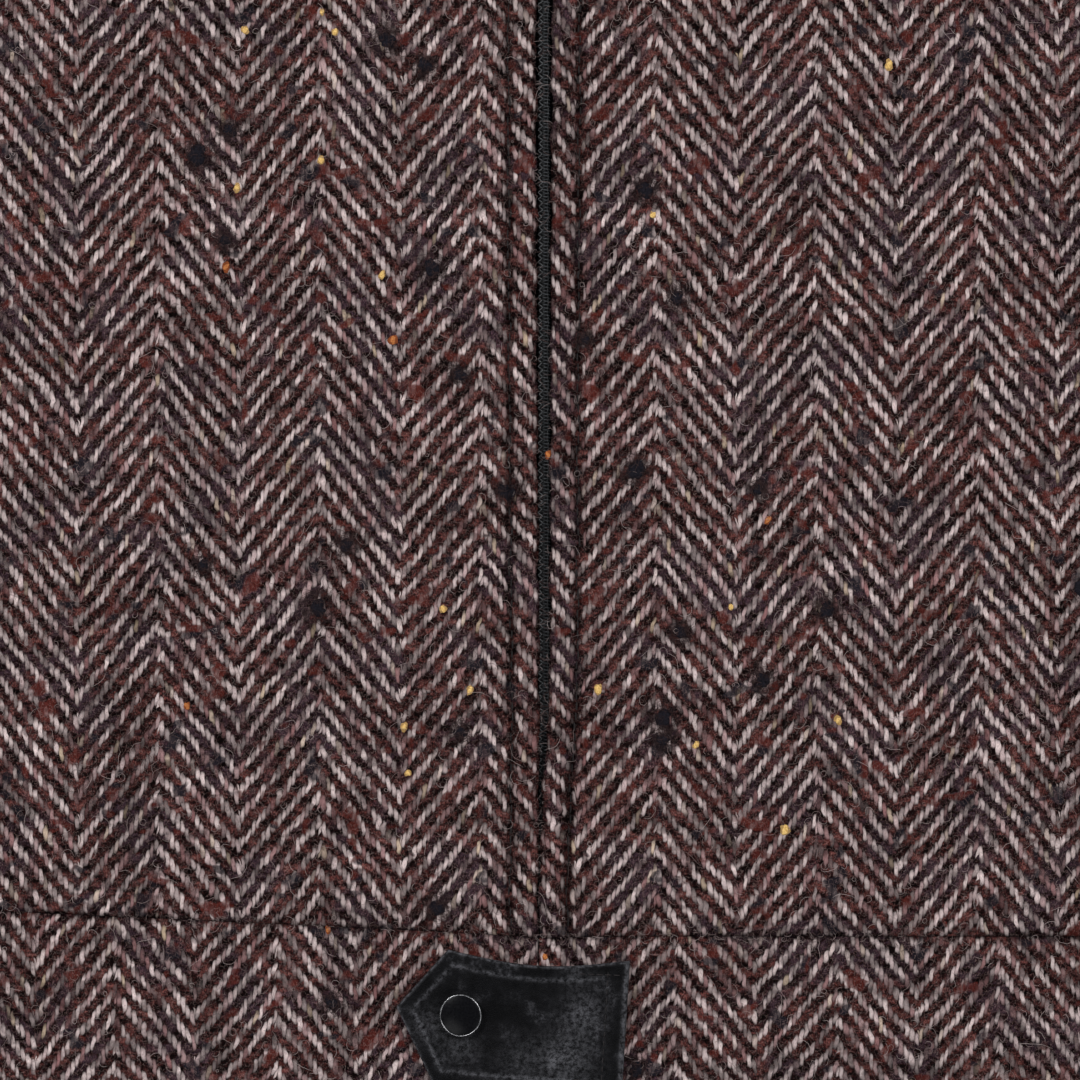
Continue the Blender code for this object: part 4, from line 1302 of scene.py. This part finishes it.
def inside_tab(lx, ly):
    """Distance in from the nearest of the four free sides, in the tab's own directions."""
    upper = upper_edge((lx - TAB_POINT_ABOVE) / (TAB_LENGTH - TAB_POINT_ABOVE)) - ly
    slant_above = (lx * TAB_ABOVE - ly * TAB_POINT_ABOVE) / math.hypot(TAB_ABOVE, TAB_POINT_ABOVE)
    slant_below = (lx * TAB_BELOW + ly * TAB_POINT_BELOW) / math.hypot(TAB_BELOW, TAB_POINT_BELOW)
    return np.minimum(np.minimum(upper, ly + TAB_BELOW), np.minimum(slant_above, slant_below))


def tab_world(lx, ly):
    c, s = math.cos(TAB_TILT), math.sin(TAB_TILT)
    return TAB_TIP[0] + lx * c - ly * s, WAIST_Y + TAB_TIP[1] + lx * s + ly * c


def tab_underside(x, y):
    return PRESSED + WALL + GAP + column(TAB_RISE, x, 1) + swell(x, y)


def tab_relief(lx, ly):
    depth, x_end = inside_tab(lx, ly), TAB_LENGTH - lx
    snap_x, snap_y = tab_local(np.array(SNAP[0]), np.array(WAIST_Y + SNAP[1]))
    ring = np.hypot(lx - snap_x, ly - snap_y)
    border = 0.00030 * (1 - smooth(TAB_BORDER - 0.0006, TAB_BORDER + 0.0006, depth))
    crease = -0.00022 * np.exp(-(((depth - TAB_BORDER) / 0.0005) ** 2))
    seam = -0.00045 * np.exp(-(((x_end - TAB_STRIP) / 0.0006) ** 2))
    roll = 0.00035 * np.exp(-(((x_end - 0.0011) / 0.0011) ** 2))
    halo = -0.00045 * np.exp(-(((ring - 0.0083) / 0.0013) ** 2))
    waves = 0.00016 * np.sin(lx * 260 + 1.2) * np.sin(ly * 190 - 0.4)
    return border + (crease + waves) * smooth(0.004, 0.009, x_end) + seam + roll + halo


def tab_height(x, y):
    lx, ly = tab_local(x, y)
    return tab_underside(x, y) + LEATHER + tab_relief(lx, ly)


def soft_line(distance, place, width):
    return np.exp(-(((distance - place) / width) ** 2))


def tab_wear_and_highlight(lx, ly, depth):
    """How far the leather is rubbed grey: on its edges, along its crease and in soft patches; along its sewn
    end the line is partly a painted highlight.
    """
    from_end = TAB_LENGTH - lx
    # The line 1.2 mm from the sewn end is rubbing on the rolled end and a painted highlight where that roll
    # catches the light.
    wear_and_highlight = 0.9 * soft_line(depth, 0.0003, 0.0004) + 0.9 * soft_line(from_end, 0.0012, 0.0007)
    crease = soft_line(inside_tab(lx, ly), TAB_BORDER - 0.0004, 0.0007)
    wear_and_highlight += 0.75 * crease * smooth(0.006, 0.01, from_end)
    for cx, cy, size, amount in TAB_PATCHES:
        wear_and_highlight += amount * np.exp(-(((lx - cx) / size) ** 2) - ((ly - cy) / size) ** 2)
    return np.clip(wear_and_highlight, 0, 1)


def leather_tab():
    near = [0, 0.0001, 0.0003, 0.0006, 0.0010]
    across = spread(TAB_LENGTH, near, near, 110)[0] / TAB_LENGTH
    up = spread(TAB_ABOVE + TAB_BELOW, near, near, 70)[0] / (TAB_ABOVE + TAB_BELOW) * 2 - 1
    v, u = np.meshgrid(up, across, indexing="ij")
    left = np.abs(v) * np.where(v > 0, TAB_POINT_ABOVE, TAB_POINT_BELOW)
    lx, ly = left + (TAB_LENGTH - left) * u, v * np.where(v > 0, upper_edge(u), TAB_BELOW)
    x, y = tab_world(lx, ly)
    depth = np.minimum(inside_tab(lx, ly), TAB_LENGTH - lx)
    bottom = tab_underside(x, y)
    thick = (LEATHER + tab_relief(lx, ly)) / 2
    half = thick * edge_profile(depth, 0.0007)
    obj = two_faced("leather_tab", x, y, bottom + thick, half, LEATHER_BLACK)
    store(obj, "wear_and_highlight", np.tile(tab_wear_and_highlight(lx, ly, depth).ravel(), 2))
    weld(obj.data)
    ride(obj, "leather", "leather_tab")


def tab_stitching():
    """Stitches across the tab's sewn end, and along its crease up to that end."""
    starts, ends = [], []

    def row(first, last, pitch):
        (ax, ay), (bx, by) = first, last
        length = math.hypot(bx - ax, by - ay)
        for k in range(int(length / pitch)):
            for points, part in ((starts, k * pitch), (ends, k * pitch + 0.75 * pitch)):
                points.append(tab_world(ax + (bx - ax) * part / length, ay + (by - ay) * part / length))

    seam = TAB_LENGTH - TAB_STRIP
    row((seam, -TAB_BELOW + 0.002), (seam, TAB_ABOVE - 0.002), 0.0030)
    row((seam - 0.010, TAB_ABOVE - TAB_BORDER), (seam + 0.005, TAB_ABOVE - TAB_BORDER), 0.0030)
    row((seam - 0.010, -TAB_BELOW + TAB_BORDER), (seam + 0.005, -TAB_BELOW + TAB_BORDER), 0.0030)
    obj = stitches("tab_stitching", starts, ends, tab_height, 0.00010, 0.00020, THREAD)
    ride(obj, "leather")


def lathe(name, profile, segments, place, rotation, material):
    """A closed ring of profile points turned round Z, then set on the tab's slope."""
    profile = np.asarray(profile)
    turn = np.arange(segments) * 2 * math.pi / segments
    r, z = profile[:, 0][None], profile[:, 1][None]
    turned = [r * np.cos(turn)[:, None], r * np.sin(turn)[:, None], z + 0 * turn[:, None]]
    x, y, z = np.stack(turned, -1).reshape(-1, 3).T
    c, s = math.cos(rotation), math.sin(rotation)
    points = np.stack([x * c - z * s, y, x * s + z * c], 1) + np.array(place)
    count = len(profile)
    a = (np.arange(segments)[:, None] * count + np.arange(count)[None]).ravel()
    b = (np.arange(segments)[:, None] * count + (np.arange(count)[None] + 1) % count).ravel()
    total = segments * count
    faces = np.stack([a, (a + count) % total, (b + count) % total, b], -1)
    obj = mesh_piece(name, points, faces, material)
    weld(obj.data)
    return obj


def snap():
    (x0, z0), (x1, z1) = TAB_RISE[0], TAB_RISE[1]
    slope = math.atan2(z1 - z0, x1 - x0)
    x, y = SNAP[0], WAIST_Y + SNAP[1]
    lift = LEATHER + GAP
    base = float(tab_underside(np.array(x), np.array(y)))
    place = (x - math.sin(slope) * lift, y, base + math.cos(slope) * lift)
    outer, wide, high = SNAP_RADIUS - 0.0001, 0.0005, 0.0010
    turn = np.linspace(0, 2 * math.pi, 16, endpoint=False)
    ring = np.stack([outer - wide / 2 + wide / 2 * np.cos(turn), high - 0.0004 + 0.0004 * np.sin(turn)], 1)
    ring[ring[:, 1] < high - 0.0004, 1] = -0.0002
    obj = lathe("snap_ring", ring, 96, place, slope, SILVER)
    ride(obj, "snap_ring_metal", "snap_ring")
    cap, edge, rise = outer - wide + 0.00005, 0.0008, 0.0019
    share = np.linspace(0, 1, 22) ** 0.8
    dome = [(cap * r, edge + (rise - edge) * (1 - r**2.2)) for r in share]
    obj = lathe("snap_cap", [*dome, (cap, -0.0002), (0, -0.0002)], 96, place, slope, LACQUER)
    ride(obj, "snap_lacquer", "snap_cap")


# Fuzz, nubs and flecks on the cloth


INSET = 0.009  # loose fibres and nubs keep this far from a panel's edges
HEIGHTS = {
    "front_bodice_left": front_top,
    "front_bodice_right": front_top,
    "front_skirt_left": front_top,
    "front_skirt_right": front_top,
    "upper_sleeve_left": sleeve_top(1),
    "upper_sleeve_right": sleeve_top(-1),
}


def on_panel(name, count, rng):
    """Random places on a panel's top face."""
    x, y = PANELS[name]
    across_x, across_y = x[:-1, 1:] - x[:-1, :-1], y[:-1, 1:] - y[:-1, :-1]
    up_x, up_y = x[1:, :-1] - x[:-1, :-1], y[1:, :-1] - y[:-1, :-1]
    inner = edge_distance(x, y)[:-1, :-1] > INSET
    area = (np.abs(across_x * up_y - across_y * up_x) * inner).ravel()
    chosen = rng.choice(len(area), count, p=area / area.sum())
    a, b = rng.random(count), rng.random(count)
    found_x = x[:-1, :-1].ravel()[chosen] + across_x.ravel()[chosen] * a + up_x.ravel()[chosen] * b
    found_y = y[:-1, :-1].ravel()[chosen] + across_y.ravel()[chosen] * a + up_y.ravel()[chosen] * b
    return found_x, found_y


def strands(name, place, height, heading, length, curl, lift, tint, rng, width=0.00008, points=5, waver=0.6):
    """Thin curled fibres that leave the cloth and come back to it, as one mesh of closed tubes."""
    t = np.linspace(0, 1, points)[None, :]
    bend = rng.uniform(-waver, waver, (len(length), points))
    angle = heading[:, None] + curl[:, None] * (t - 0.5) + bend
    step = length[:, None] / (points - 1)
    x = place[0][:, None] + np.cumsum(np.cos(angle) * step, axis=1)
    y = place[1][:, None] + np.cumsum(np.sin(angle) * step, axis=1)
    z = height(x, y) + lift[:, None] * np.sin(math.pi * t) + 0.00004
    radii = width / 2 * np.array([0.5] + [1.0] * (points - 2) + [0.4])
    obj = tubes(name, np.stack([x, y, z], -1), radii, 3, FUZZ)
    store(obj, "tint", np.repeat(tint, points * 3))
    ride(obj, "tweed")


def random_strands(name, place, height, rng):
    count = len(place[0])
    tint = np.where(rng.random(count) < 0.25, rng.uniform(0, 0.3, count), rng.uniform(0.35, 1, count))
    strands(
        name, place, height, rng.uniform(0, 2 * math.pi, count), rng.uniform(0.003, 0.009, count),
        rng.normal(0, 4.4, count), rng.uniform(0.0002, 0.0008, count), tint, rng, 0.00013, 7, 0.3,
    )


def edge_fuzz(rng):
    """Short hairs along the front edges, some of them across the zip's gap, and along the waist seam."""
    count = 900
    side = rng.choice((-1, 1), count)
    y = rng.uniform(HEM_Y + 0.01, NECK_Y - 0.01, count)
    x = zip_edge(side, y) + side * rng.uniform(0.0002, 0.0016, count)
    clear = under_tab(x, y) < 0.3
    x, y, side = x[clear], y[clear], side[clear]
    count = len(x)
    strands(
        "edge_fuzz", (x, y), front_top, math.pi / 2 + side * rng.uniform(0.0, 2.4, count),
        rng.uniform(0.0015, 0.0042, count), rng.normal(0, 3.0, count), rng.uniform(0.0, 0.0004, count),
        rng.uniform(0.0, 0.8, count), rng, 0.00013, 6, 0.3,
    )
    count = 450
    x = rng.uniform(-0.15, 0.15, count)
    y = tilted(x, WAIST_Y + rng.normal(0, 0.0012, count))[1]
    clear = (under_tab(x, y) < 0.3) & (np.abs(x) > 0.004)
    x, y, count = x[clear], y[clear], int(clear.sum())
    strands(
        "seam_fuzz", (x, y), front_top, rng.uniform(0, 2 * math.pi, count),
        rng.uniform(0.0015, 0.0045, count), rng.normal(0, 3.0, count),
        rng.uniform(0.0001, 0.0005, count), rng.uniform(0.0, 0.9, count), rng, 0.00014, 6, 0.3,
    )


def photo_places(count, rng):
    """Places on the fronts inside the photo's frame, clear of the zip's gap and the tab."""
    half = VIEW_WIDTH / 2 + 0.004
    x = rng.uniform(-half, half, count)
    y = rng.uniform(-half, half, count) + in_photo(540, 540)[1]
    gap = (x > zip_edge(-1, y)) & (x < zip_edge(1, y))
    keep = ~gap & (under_tab(x, y) < 0.3) & (np.abs(x) < side_half(y) - INSET)
    return x[keep], y[keep]


def side_half(y):
    """Half width of the body at a level between the hem and the underarm."""
    t = np.clip((y - HEM_Y) / SKIRT, 0, 1)
    skirt = skirt_side(1, t)[0]
    bodice = side_seam(1, np.clip((y - WAIST_Y) / (UNDERARM_Y - WAIST_Y), 0, 1))[0]
    return np.where(y < WAIST_Y, skirt, bodice)


def blobs(name, place, height, radii, rise, material, rng, segments=18, squash=1.0):
    """Low rounded tufts of wool with uneven outlines, as one mesh of closed forms."""
    count = len(radii)
    share = np.array([0.0, 0.3, 0.58, 0.8, 0.94, 1.0, 0.9, 0.0])[None, :, None]
    lift = np.array([1.0, 0.96, 0.84, 0.6, 0.28, -0.1, -0.35, -0.45])[None, :, None]
    angle = (np.arange(segments) * 2 * math.pi / segments)[None, None, :]
    wave = rng.uniform(0, 2 * math.pi, (3, count, 1, 1))
    lie = rng.uniform(-0.6, 0.6, (count, 1, 1))
    uneven = 1 + 0.13 * np.sin(2 * angle + wave[0]) + 0.09 * np.sin(3 * angle + wave[1])
    uneven = uneven + 0.08 * np.sin(5 * angle + wave[2]) + 0.06 * np.sin(8 * angle + wave[0] * 2)
    reach = np.asarray(radii)[:, None, None] * rng.uniform(0.85, 1.15, (count, 1, 1)) * share * uneven
    px, py = reach * np.cos(angle) * squash, reach * np.sin(angle)
    x = place[0][:, None, None] + px * np.cos(lie) - py * np.sin(lie)
    y = place[1][:, None, None] + px * np.sin(lie) + py * np.cos(lie)
    lumps = 1 + 0.25 * np.sin(4 * angle + wave[1]) * share
    z = height(x, y) + rise * np.asarray(radii)[:, None, None] * lift * lumps
    rings = share.shape[1]
    faces = []
    for k in range(count):
        for ring in range(rings - 1):
            for c in range(segments):
                a, b = (k * rings + ring) * segments + c, (k * rings + ring) * segments + (c + 1) % segments
                faces.append((a, a + segments, b + segments, b))
    obj = mesh_piece(name, np.stack([x, y, z], -1).reshape(-1, 3), faces, material)
    weld(obj.data, 1e-7)
    return ride(obj, "tweed")


def flecks(name, kind, place, height, rng):
    """Bright wool dots: a core on a wider, duller lens."""
    core, halo = FLECKS[kind]
    size = rng.uniform(0.0010, 0.0016, len(place[0]))
    blobs(f"{kind}_flecks_{name}", place, height, size, 0.24, core, rng, 11, 0.72)
    blobs(f"{kind}_halos_{name}", place, height, size * 1.25, 0.12, halo, rng, 12, 0.78)


def tufts(name, place, height, radii, rng, each):
    """Fibres that blur the edges of nubs."""
    radius = np.repeat(radii, each)
    count = len(radius)
    angle = rng.uniform(0, 2 * math.pi, count)
    reach = radius * np.sqrt(rng.uniform(0.1, 1.35, count))
    x = np.repeat(place[0], each) + reach * np.cos(angle)
    y = np.repeat(place[1], each) + reach * np.sin(angle)
    strands(
        name, (x, y), height, angle + rng.normal(math.pi / 2, 0.9, count),
        radius * rng.uniform(0.4, 1.1, count), rng.normal(0, 3, count),
        radius * rng.uniform(0.05, 0.22, count), rng.uniform(0, 0.26, count), rng, 0.00018,
    )


def marked(rows):
    """Places of marks listed in the photo's pixels."""
    return in_photo(np.array([row[0] for row in rows], float), np.array([row[1] for row in rows], float))


def out_of_photo(place, *extra):
    x, y = place
    half = VIEW_WIDTH / 2
    inside = (np.abs(x - in_photo(540, 0)[0]) < half) & (np.abs(y - in_photo(0, 540)[1]) < half)
    keep = ~inside & (under_tab(x, y) < 0.01) & (np.abs(x) > 0.012)
    return (x[keep], y[keep]), *(values[keep] for values in extra)


def slubs():
    """Nubs, flecks and loose fibres: the photo's own in its frame, and as many by chance elsewhere."""
    rng = np.random.default_rng(17)
    radii = np.array([row[2] for row in NUBS]) * PIXEL
    blobs("nubs_shown", marked(NUBS), front_top, radii * 0.66, 0.20, NUB, rng)
    tufts("nub_fibres_shown", marked(NUBS), front_top, radii, rng, 130)
    flecks("shown", "yellow", marked(YELLOW_FLECKS), front_top, rng)
    flecks("shown", "orange", marked(ORANGE_FLECKS), front_top, rng)
    edge_fuzz(rng)
    random_strands("fuzz_shown", photo_places(3900, rng), front_top, rng)
    for name, height in HEIGHTS.items():
        place, radii = out_of_photo(on_panel(name, 22, rng), rng.uniform(0.0028, 0.0048, 22))
        blobs(f"nubs_{name}", place, height, radii * 0.85, 0.20, NUB, rng)
        tufts(f"nub_fibres_{name}", place, height, radii, rng, 12)
        for kind, count in (("yellow", 16), ("orange", 8)):
            (place,) = out_of_photo(on_panel(name, count, rng))
            flecks(name, kind, place, height, rng)
        (place,) = out_of_photo(on_panel(name, 260, rng))
        random_strands(f"fuzz_{name}", place, height, rng)


# The jacket

for way, word in ((-1, "right"), (1, "left")):
    front_panel(f"front_bodice_{word}", *front_bodice_grid(way), ["back_bodice", f"zip_tape_{word}"])
    front_panel(f"front_skirt_{word}", *front_skirt_grid(way), ["back_skirt", f"zip_tape_{word}"])
    sleeve(way, word)
    topstitching(way, word)
    zip_coil(way, word)
back_panel("back_bodice", *back_bodice_grid())
back_panel("back_skirt", *back_skirt_grid())
collar()
leather_tab()
tab_stitching()
snap()
slubs()

for node in ("zip_tape_left", "zip_tape_right"):
    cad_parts[node].data.materials.clear()
    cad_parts[node].data.materials.append(TAPE)
for node in ("zip_slider", "zip_pull", "zip_retainer", "zip_stop_left", "zip_stop_right"):
    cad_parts[node].data.materials.clear()
    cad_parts[node].data.materials.append(NICKEL)


# Floor, light and camera


def floor():
    mesh = bpy.data.meshes.new("floor")
    size = 30
    corners = [(-size, -size, 0), (size, -size, 0), (size, size, 0), (-size, size, 0)]
    mesh.from_pydata(corners, [], [(0, 1, 2, 3)])
    mesh.materials.append(floor_material())
    obj = bpy.data.objects.new("floor", mesh)
    obj.location.z = -0.0004
    bpy.context.scene.collection.objects.link(obj)


def soft_light(name, place, size, power):
    light = bpy.data.lights.new(name, "AREA")
    light.size, light.energy = size, power
    obj = bpy.data.objects.new(name, light)
    obj.visible_camera = False
    obj.location = place
    obj.rotation_euler = (-Vector(place)).to_track_quat("-Z", "Y").to_euler()
    bpy.context.scene.collection.objects.link(obj)


def studio():
    world = bpy.data.worlds.new("studio")
    world.use_nodes = True
    world.node_tree.nodes["Background"].inputs["Color"].default_value = (0.94, 0.96, 1.0, 1)
    world.node_tree.nodes["Background"].inputs["Strength"].default_value = 0.34
    bpy.context.scene.world = world
    #            x     y     z    size  power
    lights = (
        (-1.9, 1.5, 1.5, 1.1, 74),
        (1.7, 1.2, 1.9, 1.4, 54),
        (-1.4, -1.6, 1.9, 1.4, 16),
        (1.5, -1.5, 1.9, 1.4, 14),
    )
    for k, (x, y, z, size, power) in enumerate(lights):
        soft_light(f"softbox_{k}", (x, y, z), size, power)


def camera():
    data = bpy.data.cameras.new("camera")
    data.lens, data.sensor_width = 100, 36
    distance = VIEW_WIDTH * data.lens / data.sensor_width
    x, y = in_photo(540, 540)
    obj = bpy.data.objects.new("camera", data)
    obj.location = (x, y, distance + PRESSED + WALL)
    data.clip_start, data.clip_end = 0.01, 100
    bpy.context.scene.collection.objects.link(obj)
    bpy.context.scene.camera = obj


floor()
studio()
camera()
bpy.context.scene.view_settings.view_transform = "Standard"
